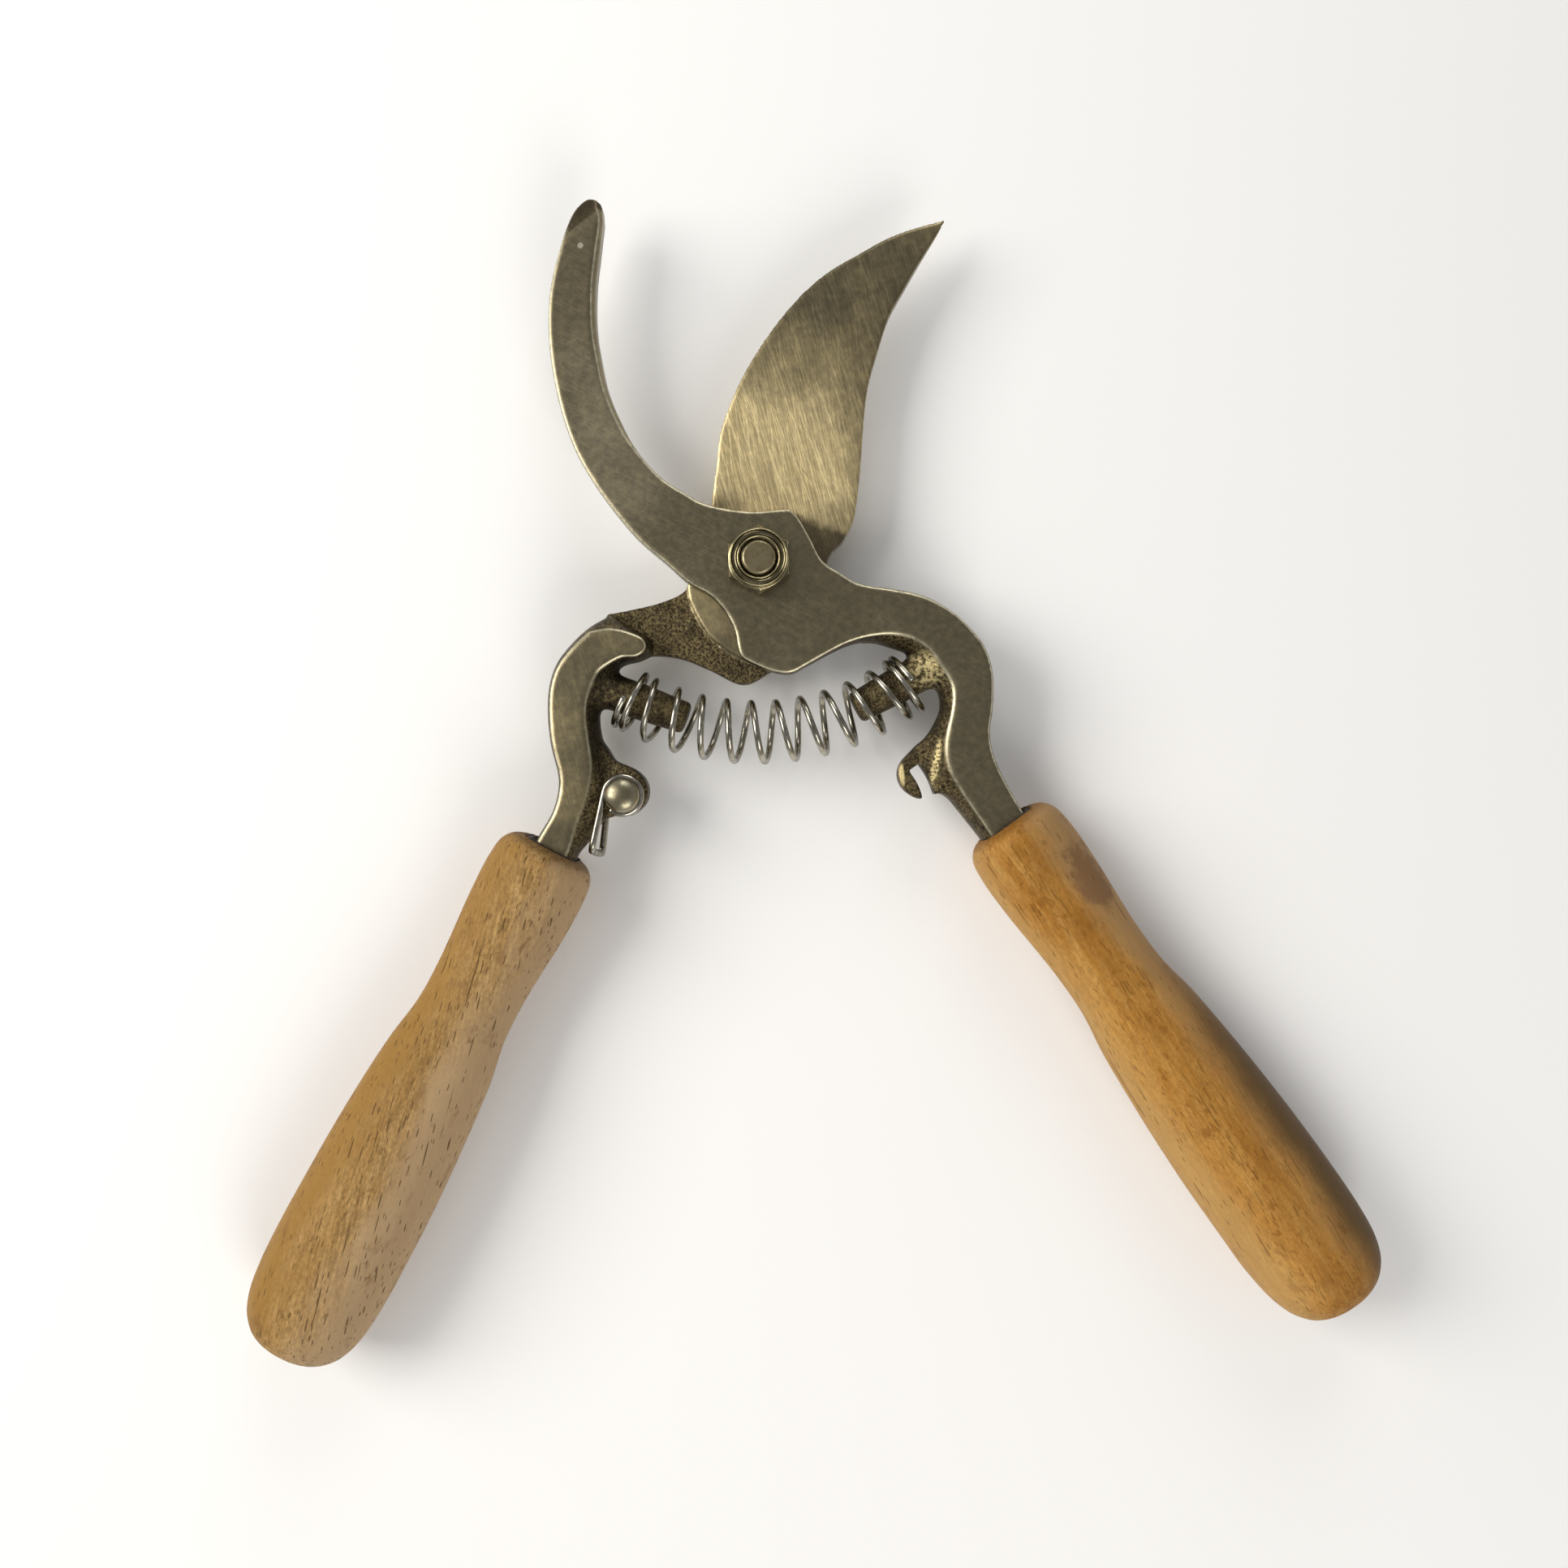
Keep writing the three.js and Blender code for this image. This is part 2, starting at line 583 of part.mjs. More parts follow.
const pruner = new THREE.Group();
pruner.add(
  named("hook_arm", hookArm(), MATERIALS.forgedSteel),
  named("hook_handle", handle(HOOK_HANDLE), MATERIALS.goldenWood),
  named("hook_tang_resin", resin(HOOK_HANDLE), MATERIALS.resin),
  named("pivot_bolt", pivotBolt(), MATERIALS.nutSteel),
  named("bolt_washer", ring(WASHER_RADIUS, PIVOT_BORE, WASHER_REAR, WASHER_FRONT), MATERIALS.nutSteel),
  named("pivot_nut", pivotNut(), MATERIALS.nutSteel),
  named("nut_insert", ring(INSERT_RADIUS, PIVOT_BORE, INSERT_REAR, INSERT_FRONT), MATERIALS.nylon),
  named("return_spring", returnSpring(), MATERIALS.springSteel),
  named("blade_arm", bladeArm(), MATERIALS.bladeSteel),
  named("blade_handle", handle(BLADE_HANDLE), MATERIALS.paleWood),
  named("blade_tang_resin", resin(BLADE_HANDLE), MATERIALS.resin),
  named("latch_rivet", latchRivet(), MATERIALS.brightSteel),
  named("rivet_washer", ring(3.2, RIVET_BORE, 5.5, 6.1, RIVET), MATERIALS.nutSteel),
  named("latch_bail", latchBail(), MATERIALS.springSteel),
);

export default pruner;
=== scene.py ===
"""The looks of a one-hand bypass pruner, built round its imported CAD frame.

Shapes are worked out in millimetres in the frame's own axes: the origin is the middle of the bolt head's
face, +Z runs along the bolt and +Y towards the jaws. The forged arms, bolt, rivet and washers are distance
fields turned into meshes, the nut, handles and wires are lofted, and every material is made of nodes.
"""

import math

import bpy
import numpy as np
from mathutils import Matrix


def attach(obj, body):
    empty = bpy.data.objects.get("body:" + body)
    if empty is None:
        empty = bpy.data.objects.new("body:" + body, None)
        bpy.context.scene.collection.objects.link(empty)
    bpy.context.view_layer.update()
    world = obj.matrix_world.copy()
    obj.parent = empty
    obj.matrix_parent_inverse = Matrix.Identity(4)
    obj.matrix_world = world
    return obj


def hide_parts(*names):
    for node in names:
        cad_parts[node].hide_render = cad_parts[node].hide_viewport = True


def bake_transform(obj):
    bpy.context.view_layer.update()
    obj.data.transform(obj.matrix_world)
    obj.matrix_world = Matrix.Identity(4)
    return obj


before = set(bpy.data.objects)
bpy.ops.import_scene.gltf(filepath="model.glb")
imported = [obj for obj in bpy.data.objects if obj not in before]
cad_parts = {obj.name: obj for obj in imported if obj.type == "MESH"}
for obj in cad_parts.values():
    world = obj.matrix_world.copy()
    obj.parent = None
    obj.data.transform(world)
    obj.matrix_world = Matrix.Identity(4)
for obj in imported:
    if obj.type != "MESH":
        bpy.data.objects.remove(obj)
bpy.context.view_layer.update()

MM = 0.001
FORGE_STEP = 0.3
FASTENER_STEP = 0.09
OUTLINE_STEP = 1.0

# Heights along the bolt
REAR = 5.6
FRONT = 14.4
MIDDLE = 10.0
HALF_DEPTH = FRONT - MIDDLE
BLADE_FACE = 9.95
HOOK_FACE = 10.05
ROUGH_FACE = 9.45
LUG_REAR = 7.5
LUG_FRONT = 12.5

# Pivot
BOLT_RADIUS = 3.0
PIVOT_BORE = 3.1
CORNER_RADIUS = 5.0 / math.cos(math.radians(30))
HEAD_TOP = 4.0
HEAD_ANGLE = 10
NUT_SHOULDER = 18.4
NUT_TOP = 20.4
NUT_ANGLE = 32
BOLT_END = 20.6
# radius and height, in smooth stretches: foot, its edge, flats, chamfer, the collar's root, the collar's
# wall and rim, dish and lip, the lip's bore, seat of the insert, and thread
NUT_PROFILE = [
    [(3.1, 14.5), (5.25, 14.5)],
    [(5.3, 14.52), (5.76, 14.8)],
    [(5.78, 14.85), (5.78, 18.0)],
    [(5.76, 18.03), (5.1, 18.4)],
    [(5.05, 18.43), (4.88, 18.5), (4.8, 18.65), (4.78, 18.9)],
    [(4.78, 19.0), (4.78, 20.15), (4.74, 20.32), (4.64, 20.4), (4.54, 20.34), (4.46, 20.18), (4.36, 19.98)],
    [(4.3, 19.92), (4.1, 19.86), (3.85, 19.9), (3.65, 20.05), (3.53, 20.26), (3.42, 20.33), (3.31, 20.26)],
    [(3.27, 20.18), (3.27, 19.8)],
    [(3.9, 19.72), (3.9, 18.65)],
    [(3.1, 18.62), (3.1, 14.6)],
]
# outer radius, rear and front of each ring
BOLT_WASHER = (6.0, 4.1, 5.5)
RIVET_WASHER = (3.2, 5.5, 6.1)
LOCKING_RING = (3.85, NUT_SHOULDER + 0.3, 19.68)

# Hook, blade and boss
BLADE_SWEEP = 21.5
TIP_BROW = (-31.7, 55.2)
TIP_DIRECTION = (-0.615, 0.788)
TIP_FALL = 0.36
INNER_BEVEL = 0.85
INNER_BEVEL_SLOPE = 1.25
GRINDING_WIDTH = 8.5
BOSS_CENTRE = (3.5, -1.2)
BOSS_RADIUS = 16.0
CLOSED_ANGLE = 54

# Latch
RIVET = np.array([-23.0, -39.0])
RIVET_RADIUS = 1.75
RIVET_BORE = 1.85
RIVET_HEAD = 13.9
RIVET_TAIL = 5.4
LATCH_LENGTH = 10.8
LATCH_ANGLE = 244.2
LATCH_SLANT = 3.2
LATCH_WIRE = 0.6
LATCH_BEND = 1.6
EYE_RADIUS = 3.1
FRONT_EYE = 13.2
REAR_EYE = 6.8
SLOT_RADIUS = 1.05
SLOT_END = 36.5

# Spring
SPRING_CENTRE = np.array([-0.6, 15.9])
SPRING_BEND = 44.2
SPRING_FROM = 240.3
SPRING_TO = 306.3
COIL_RADIUS = 5.0
SPRING_WIRE = 0.55
END_TURNS = 1.5
END_PITCH = 1.35
OPEN_TURNS = 10

# Studs, as tip and root
STUD_RADIUS = 3.0
HOOK_STUD = ((16.2, -24.3), (31.0, -16.2))
BLADE_STUD = ((-12.3, -26.0), (-30.0, -19.6))

# Handles: middle of the wood's top, its direction in degrees below +X, and its length
HOOK_HANDLE = ((41.85, -43.76), 54.4, 99.9)
BLADE_HANDLE = ((-35.17, -47.93), 117.9, 96.9)
PALM_RADIUS = 11.2
FLATTENING = MIDDLE / PALM_RADIUS
MOUTH_FLATTENING = 1.14
SETTLE = 14.0
# distance from the top, in hundredths of the length, and half-width
HANDLE_PROFILE = [
    (0, 5.6), (0.7, 7.1), (2.4, 8.4), (6, 8.95), (13, 8.9), (26, 8.1), (34, 8.2), (42, 9.4), (52, 10.3),
    (66, 11.0), (78, PALM_RADIUS), (87, 11.0), (92.5, 10.3), (96.4, 8.8), (98.8, 6.4), (99.8, 3.2), (100, 0),
]
TANG_MOUTH = (3.5, 4.1)
TANG_TIP = (2.0, 2.0)
TANG_LENGTH = 56.0
RESIN_MOUTH = (4.45, 5.15)
RESIN_DEPTH = 3.0

# Outlines: each stretch runs smoothly, and a straight side joins one's end to the next one's start
HOOK_PLATE = [[
    (-26.2, 57.5), (-26.6, 60.3), (-28.6, 61.3), (-30.8, 59.6), (-32.9, 54.3), (-35.2, 44),
    (-34.6, 31.9), (-30.4, 17.9), (-21.4, 5.1), (-15.7, 0), (-11.5, -3.65), (-8.3, -5.4), (-5.8, -8.1),
    (-4.1, -11.5), (-3.5, -14.6), (-2.9, -15.8), (-0.3, -17.2), (3, -18.4), (5.5, -18.5), (7.9, -17.2),
    (11.6, -15.1), (15.1, -13.35), (19.1, -12.2), (22.8, -11.8), (26.2, -12.5), (28.8, -14.35),
    (30.8, -17.1), (32.5, -20.2), (32.8, -22.5), (31.75, -30.2), (32.2, -34.2), (34.2, -38.2),
    (37.9, -43.8),
], [
    (43.8, -41.3), (41, -36.5), (39.2, -32.5), (38.5, -28.5), (39, -24.2), (39, -18.5),
    (37.9, -14.6), (35.6, -11.4), (33, -8.8), (29.9, -6.8), (26.5, -5.4), (20.2, -4.2), (16.2, -3.3),
    (13.4, -1.6), (10.6, 0.3), (8.5, 4.2), (6.3, 7.9), (5.1, 9),
], [
    (5.1, 9), (-2, 8.6), (-9.5, 10), (-12.2, 11.5), (-16.4, 14.2), (-20.5, 18.8), (-23, 23.3),
    (-25.4, 29), (-26.6, 34.3), (-27.4, 39.7), (-27.4, 46.8), (-26.8, 52.2), (-26.2, 57.5),
]]
HOOK_INNER_EDGE = [(-27.5, 61.8), (-26.2, 58), *HOOK_PLATE[2][-2:3:-1]]
HOOK_ARM = [[
    (5.5, -18.5), (7.9, -17.3), (11.6, -15.3), (15.1, -13.7), (18.6, -13.1), (22.6, -14.1), (26.2, -15.6),
    (28.8, -18.6), (30.4, -21.8), (30.6, -24.4), (29.8, -26.5), (28.6, -28.8), (28, -32.5), (29.4, -36.4),
    (31.6, -39), (33.9, -41.9), (37.3, -46.2), (38.6, -48),
], [
    (45.6, -43.2), (44.3, -41.4), (41.5, -36.4), (39.7, -32.4), (39, -28.5), (39.5, -24.2),
    (39.5, -18.5), (38.3, -14.3), (35.9, -11), (30, -6.3), (26.5, -4.9), (20.2, -3.7),
]]
HOOK_ARM_FACE = [
    [*HOOK_PLATE[0][-15:], (39.8, -46.8)],
    [(45.2, -43.3), (43.9, -41.5), *HOOK_PLATE[1][1:12]],
]
HOOK_LUG = [[
    (33, -28), (27.6, -29.8), (25.3, -31.9), (23.8, -33.7), (23.4, -35.6), (24, -37.5),
    (25.6, -39), (27.6, -39.7), (30.5, -38.6), (34.5, -39.5),
]]
CAST_BEAD = [(28.9, -29), (29.2, -31), (29.7, -34.4), (30.9, -38)]
BLADE_EDGE = [
    (31.7, 59), (26.1, 57.5), (21.8, 55.9), (16.7, 53.1), (11.6, 50.1), (7.25, 46.4), (3, 41.5),
    (-0.3, 36.8), (-3.2, 31.8), (-5.3, 27), (-6.9, 22), (-7.5, 16.5), (-8.2, 10.5),
]
BLADE_PLATE = [BLADE_EDGE, [
    (-8.2, 10.5), (-11.6, 4), (-12, -1), (-12.6, -4), (-16.4, -6), (-20.5, -7.1),
    (-25.9, -8.2),
], [
    (-27.5, -18.2), (-23.6, -16.6), (-19.9, -15.3), (-17.5, -15.1), (-13.2, -15.7), (-8.5, -17.6),
    (-2.7, -20.1), (1.35, -18.2), (6, -14.5), (9.5, -9), (10.8, -3), (11.8, 1.6), (12.75, 3.1),
    (14, 4.2), (15.1, 6), (16, 7.8), (16.9, 13.7), (17.4, 19.5), (17.8, 25.3), (18.5, 30.65),
    (20.2, 36.85), (22.1, 42.65), (24.65, 47.3), (27.2, 51.7), (29.9, 55.9), (31.7, 59),
]]
BLADE_ARM = [[
    (-25.4, -8.5), (-28.6, -10.4), (-31.4, -12.9), (-34.3, -16.6), (-35.6, -20.6), (-35.85, -25.5),
    (-35.3, -30.6), (-34.1, -35.5), (-34, -37.8), (-35, -41.75), (-37.4, -45.9),
    (-38.5, -48),
], [
    (-31.7, -51), (-30.6, -48.9), (-28, -45.75), (-26.4, -42.4), (-25.6, -38), (-25.8, -33),
    (-26.7, -29.2), (-27.1, -26.5), (-26.8, -22.5), (-25.4, -19), (-22.9, -16.9), (-20.4, -16.3),
    (-18.6, -15.2), (-18.3, -13.6), (-19.2, -12.2), (-21.7, -10.8), (-25.4, -8.5),
]]
BLADE_ARM_FACE = [[
    (-28.4, -11.7), (-31.1, -14.2), (-33.7, -17.6), (-34.8, -21), (-35, -25.5), (-34.5, -30.6),
    (-33.3, -35.5), (-33.3, -37.9), (-34.3, -41.8), (-36.9, -46.4),
    (-38, -48.5),
], [
    (-33.2, -50.5), (-32.1, -48.4), (-31.1, -43.5), (-29.6, -39.5), (-28.6, -35.8), (-28.5, -33.5),
    (-29, -29.2), (-29.4, -24.9), (-28.7, -21.2), (-27.4, -18.35), (-24.9, -16.6), (-22.9, -15.7),
    (-20.6, -15.7), (-19.4, -14.9), (-19, -13.9), (-19.6, -12.7), (-21.7, -11.8), (-24, -11.3),
    (-28.4, -11.7),
]]
BLADE_LUG = [[
    (-30, -29), (-25.8, -31), (-24.6, -33), (-22.9, -33.8), (-21.1, -34.6), (-19.5, -36),
    (-18.8, -37.6), (-18.9, -39.6), (-19.9, -41.2), (-21.6, -42.1), (-24.2, -42.5), (-29, -44),
]]


# ---- Curves and outlines ----


def on_circle(centre, radius, degrees):
    angle = math.radians(degrees)
    return np.array([centre[0] + radius * math.cos(angle), centre[1] + radius * math.sin(angle)])


def turned(point, degrees):
    start = math.degrees(math.atan2(point[1], point[0]))
    return on_circle((0, 0), math.hypot(point[0], point[1]), start + degrees)


def smooth(points, step=OUTLINE_STEP):
    """A centripetal Catmull-Rom curve through the points, in any number of dimensions."""
    p = np.array(points, float)
    if len(p) == 2:
        return p
    p = np.vstack([2 * p[0] - p[1], p, 2 * p[-1] - p[-2]])
    spans = np.linalg.norm(np.diff(p, axis=0), axis=1)
    knots = np.concatenate([[0], np.cumsum(np.sqrt(spans))])
    out = [p[1:2]]
    for i in range(1, len(p) - 2):
        k0, k1, k2, k3 = knots[i - 1 : i + 3]
        p0, p1, p2, p3 = p[i - 1 : i + 3]
        t = np.linspace(k1, k2, max(2, round(spans[i] / step)) + 1)[1:, None]
        a1 = (k1 - t) / (k1 - k0) * p0 + (t - k0) / (k1 - k0) * p1
        a2 = (k2 - t) / (k2 - k1) * p1 + (t - k1) / (k2 - k1) * p2
        a3 = (k3 - t) / (k3 - k2) * p2 + (t - k2) / (k3 - k2) * p3
        b1 = (k2 - t) / (k2 - k0) * a1 + (t - k0) / (k2 - k0) * a2
        b2 = (k3 - t) / (k3 - k1) * a2 + (t - k1) / (k3 - k1) * a3
        out.append((k2 - t) / (k2 - k1) * b1 + (t - k1) / (k2 - k1) * b2)
    return np.vstack(out)


def path_distance(path, x, y):
    """Distance from each (x, y) to an open path."""
    nearest = np.full(np.broadcast(x, y).shape, 1e9)
    for (ax, ay), (bx, by) in zip(path[:-1], path[1:], strict=True):
        dx, dy = bx - ax, by - ay
        share = np.clip(((x - ax) * dx + (y - ay) * dy) / (dx * dx + dy * dy), 0, 1)
        nearest = np.minimum(nearest, (x - ax - share * dx) ** 2 + (y - ay - share * dy) ** 2)
    return np.sqrt(nearest)


def outline_distance(stretches, x, y):
    """Signed distance to a closed outline, negative inside."""
    loop = np.vstack([smooth(s) for s in stretches])
    apart = np.any(np.abs(loop - np.roll(loop, 1, 0)) > 1e-9, axis=1)
    loop = loop[apart]
    loop = np.vstack([loop, loop[:1]])
    inside = np.zeros(np.broadcast(x, y).shape, bool)
    for (ax, ay), (bx, by) in zip(loop[:-1], loop[1:], strict=True):
        if ay != by:
            inside ^= ((ay > y) != (by > y)) & (x < (bx - ax) * (y - ay) / (by - ay) + ax)
    return np.where(inside, -1, 1) * path_distance(loop, x, y)


# ---- Distance fields ----


def ease(value, start, end):
    t = np.clip((value - start) / (end - start), 0, 1)
    return t * t * (3 - 2 * t)


def soft_join(a, b, reach):
    """Union with a fillet about reach wide."""
    h = np.clip(0.5 + 0.5 * (b - a) / reach, 0, 1)
    return b * (1 - h) + a * h - reach * h * (1 - h)


def soft_cut(a, b, reach):
    """a without b, with the new edge rounded."""
    return -soft_join(-a, b, reach)


def corner(a, b, radius):
    """Intersection of two sides whose meeting edge is rounded by radius."""
    outside = np.hypot(np.maximum(a + radius, 0), np.maximum(b + radius, 0))
    return np.minimum(np.maximum(a, b) + radius, 0) + outside - radius


def plate(side, z, rear, front, edge):
    """A flat piece with rounded edges: side is the distance to its outline."""
    return corner(side, np.abs(z - (rear + front) / 2) - (front - rear) / 2, edge)


def forged_bar(middle, face, x, y, z):
    """A bar whose outline runs from middle, half way up, to face at both flat sides."""
    middle, face = outline_distance(middle, x, y)[..., None], outline_distance(face, x, y)[..., None]
    height = np.clip(np.abs(z - MIDDLE) / HALF_DEPTH, 0, 1.2)
    side = middle + (face - middle) * height**2.2
    return corner(side, np.abs(z - MIDDLE) - HALF_DEPTH, 0.45)


def peg(stud, x, y, z):
    """A stud that flares towards its root."""
    (tx, ty), (rx, ry) = stud
    length = math.hypot(rx - tx, ry - ty)
    ux, uy = (rx - tx) / length, (ry - ty) / length
    along = (x - tx) * ux + (y - ty) * uy
    across = (y - ty) * ux - (x - tx) * uy
    radius = STUD_RADIUS - 0.25 + 0.35 * ease(along, 0, 10)
    side = np.hypot(across[..., None], z - MIDDLE) - radius[..., None]
    return corner(side, np.maximum(-along, along - length)[..., None], 0.9)


def bar_in_handle(handle, x, y, z):
    """The tang: a tapered bar that runs down the handle's axis."""
    (tx, ty), degrees, _ = handle
    dx, dy = math.cos(math.radians(degrees)), -math.sin(math.radians(degrees))
    along = (x - tx) * dx + (y - ty) * dy
    across = np.abs((x - tx) * dy - (y - ty) * dx)
    share = np.clip(along / TANG_LENGTH, 0, 1)
    half_width = TANG_MOUTH[0] + (TANG_TIP[0] - TANG_MOUTH[0]) * share
    half_depth = TANG_MOUTH[1] + (TANG_TIP[1] - TANG_MOUTH[1]) * share
    side = corner((across - half_width)[..., None], np.abs(z - MIDDLE) - half_depth[..., None], 0.8)
    return corner(side, np.maximum(0.3 - along, along - TANG_LENGTH)[..., None], 0.5)


def common_parts(shape, stud, handle, x, y, z):
    """The shape with its spring stud, its tang and the bore for the bolt."""
    shape = soft_join(shape, peg(stud, x, y, z), 1.8)
    shape = np.minimum(shape, bar_in_handle(handle, x, y, z))
    return np.maximum(shape, PIVOT_BORE - np.hypot(x, y)[..., None])


def lumps(x, y, cell, seed):
    """Smooth random relief from -1 to 1 with lumps about one cell wide."""
    lattice = np.random.RandomState(seed).uniform(-1, 1, (64, 64))
    u, v = x / cell + 500.5, y / cell + 500.5
    i, j = np.floor(u).astype(int), np.floor(v).astype(int)
    a, b = ease(u - i, 0, 1), ease(v - j, 0, 1)
    i, j, k, m = i % 64, j % 64, (i + 1) % 64, (j + 1) % 64
    low = lattice[i, j] * (1 - a) + lattice[k, j] * a
    high = lattice[i, m] * (1 - a) + lattice[k, m] * a
    return low * (1 - b) + high * b


def grid(low, high, step):
    """Sample places: x and y as two-dimensional arrays and z as one row."""
    axes = [np.arange(a - 2.37 * step, b + 2.5 * step, step) for a, b in zip(low, high, strict=True)]
    x, y = np.meshgrid(axes[0], axes[1], indexing="ij")
    return x, y, axes[2][None, None, :], axes


def skin(field, axes):
    """The surface where the field is zero, as vertices and quads: one vertex in each cell it crosses."""
    inside = field < 0
    corners = [(a, b, c) for a in (0, 1) for b in (0, 1) for c in (0, 1)]
    size = [n - 1 for n in field.shape]
    count = np.zeros(size, np.int8)
    for a, b, c in corners:
        count += inside[a : a + size[0], b : b + size[1], c : c + size[2]]
    cells = np.argwhere((count > 0) & (count < 8))
    number = np.full(size, -1, np.int64)
    number[tuple(cells.T)] = np.arange(len(cells))
    values = np.stack([field[tuple((cells + k).T)] for k in corners], 1)
    total, hits = np.zeros((len(cells), 3)), np.zeros(len(cells))
    for m, p in enumerate(corners):
        for n, q in enumerate(corners):
            if n > m and sum(abs(u - v) for u, v in zip(p, q, strict=True)) == 1:
                crossed = (values[:, m] < 0) != (values[:, n] < 0)
                rise = np.where(crossed, values[:, m] - values[:, n], 1)
                share = np.where(crossed, values[:, m] / rise, 0)[:, None]
                total += np.where(crossed[:, None], np.array(p) + share * (np.array(q) - np.array(p)), 0)
                hits += crossed
    step = axes[0][1] - axes[0][0]
    low = np.array([axis[0] for axis in axes])
    vertices = low + (cells + total / hits[:, None]) * step
    quads = []
    for axis in range(3):
        ahead = np.roll(inside, -1, axis)
        edges = np.argwhere(inside != ahead)
        other = [k for k in range(3) if k != axis]
        ok = (edges[:, axis] < size[axis]) & (edges[:, other[0]] > 0) & (edges[:, other[1]] > 0)
        ok &= (edges[:, other[0]] < size[other[0]]) & (edges[:, other[1]] < size[other[1]])
        edges = edges[ok]
        round_edge = []
        for back in ((1, 1), (0, 1), (0, 0), (1, 0)):
            cell = edges.copy()
            cell[:, other[0]] -= back[0]
            cell[:, other[1]] -= back[1]
            round_edge.append(number[tuple(cell.T)])
        quad = np.stack(round_edge, 1)
        outward = inside[tuple(edges.T)] == (axis != 1)
        quad[~outward] = quad[~outward][:, ::-1]
        quads.append(quad)
    return vertices, np.vstack(quads).tolist()


# ---- Pieces ----


def add_object(name, data):
    made = bpy.data.objects.new(name, data)
    bpy.context.scene.collection.objects.link(made)
    return made


def make_piece(name, vertices, faces, node, body, material):
    """A smooth-shaded mesh that stands for one CAD node and rides on its body."""
    mesh = bpy.data.meshes.new(name)
    mesh.from_pydata((vertices * MM).tolist(), [], faces)
    mesh.materials.append(material)
    mesh.shade_smooth()
    piece = add_object(name, mesh)
    if body:
        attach(piece, body)
    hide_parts(node)
    return piece


def hook_arm():
    x, y, z, axes = grid((-35.6, -91.5, REAR), (76.5, 61.6, FRONT), FORGE_STEP)
    side = outline_distance(HOOK_PLATE, x, y)[..., None]
    shape = np.maximum(corner(side, z - FRONT, 0.55), HOOK_FACE - z)
    past_brow = (x - TIP_BROW[0]) * TIP_DIRECTION[0] + (y - TIP_BROW[1]) * TIP_DIRECTION[1]
    shape = -soft_join(-shape, (FRONT - z - TIP_FALL * past_brow[..., None]) * 0.94, 0.5)
    inset = path_distance(smooth(HOOK_INNER_EDGE), x, y)
    width = INNER_BEVEL * ease(y, 15, 23)
    bevel = (z - (FRONT + 0.1 - INNER_BEVEL_SLOPE * (width - inset)[..., None])) * 0.62
    shape = -soft_join(-shape, -bevel, 0.2)
    arm = forged_bar(HOOK_ARM, HOOK_ARM_FACE, x, y, z)
    blade_room = np.maximum(np.hypot(x, y)[..., None] - BLADE_SWEEP, z - HOOK_FACE)
    arm = soft_cut(arm, blade_room, 0.6)
    shape = np.minimum(shape, arm)
    closed_rivet = turned(RIVET, CLOSED_ANGLE)
    route = np.array([on_circle(closed_rivet, LATCH_LENGTH, SLOT_END - k * 4) for k in range(11)])
    lug = plate(outline_distance(HOOK_LUG, x, y)[..., None], z, LUG_REAR, LUG_FRONT, 0.5)
    into_end = (route[0] - route[1]) / np.linalg.norm(route[0] - route[1])
    past_end = (x - route[0][0]) * into_end[0] + (y - route[0][1]) * into_end[1] - SLOT_RADIUS
    route = np.vstack([route[0] + 3 * into_end, route])
    slot = np.maximum(path_distance(route, x, y) - SLOT_RADIUS, past_end)
    lug = soft_cut(lug, slot[..., None], 0.2)
    shape = soft_join(shape, lug, 1.4)
    bead = np.hypot(path_distance(smooth(CAST_BEAD), x, y)[..., None], z - LUG_FRONT - 0.15)
    shape = soft_join(shape, bead - 0.5 - 0.25 * lumps(x, y, 0.8, 12)[..., None], 0.3)
    return skin(common_parts(shape, HOOK_STUD, HOOK_HANDLE, x, y, z), axes)


def blade_arm():
    x, y, z, axes = grid((-82.5, -98.0, REAR), (31.6, 58.9, FRONT), FORGE_STEP)
    side = outline_distance(BLADE_PLATE, x, y)[..., None]
    inset = path_distance(smooth(BLADE_EDGE), x, y)
    ground = np.clip(1 - inset / GRINDING_WIDTH, 0, 1) * ease(y, 6, 17)
    thinning = 1.5 * np.clip((0.46 * x + 0.89 * y - 20) / 44, 0, 1)
    rear = REAR + np.maximum(thinning, (BLADE_FACE - 0.25 - REAR) * ground)
    shape = np.maximum(np.maximum(side, z - BLADE_FACE), (rear[..., None] - z) * 0.9)
    cast = ROUGH_FACE + 0.07 * lumps(x, y, 1.1, 4) + 0.05 * lumps(x, y, 0.55, 9)
    beyond_boss = BOSS_RADIUS + 0.25 * lumps(x, y, 1.6, 2) - np.hypot(x - BOSS_CENTRE[0], y - BOSS_CENTRE[1])
    bridge = np.maximum(beyond_boss, y - 5.0)
    recess = np.maximum(bridge[..., None], cast[..., None] - z)
    shape = soft_cut(shape, recess, 0.2)
    arm = forged_bar(BLADE_ARM, BLADE_ARM_FACE, x, y, z)
    shape = soft_join(shape, arm, 0.9)
    lug = plate(outline_distance(BLADE_LUG, x, y)[..., None], z, LUG_REAR, LUG_FRONT, 0.5)
    shape = soft_join(shape, lug, 1.2)
    shape = np.maximum(shape, np.maximum(z - FRONT, REAR - z))
    shape = common_parts(shape, BLADE_STUD, BLADE_HANDLE, x, y, z)
    rivet_hole = RIVET_BORE - np.hypot(x - RIVET[0], y - RIVET[1])
    return skin(np.maximum(shape, rivet_hole[..., None]), axes)


def hexagon(x, y, degrees):
    flats = [math.radians(degrees + 30 + 60 * k) for k in range(6)]
    return np.max([x * math.cos(a) + y * math.sin(a) for a in flats], axis=0) - 5.0


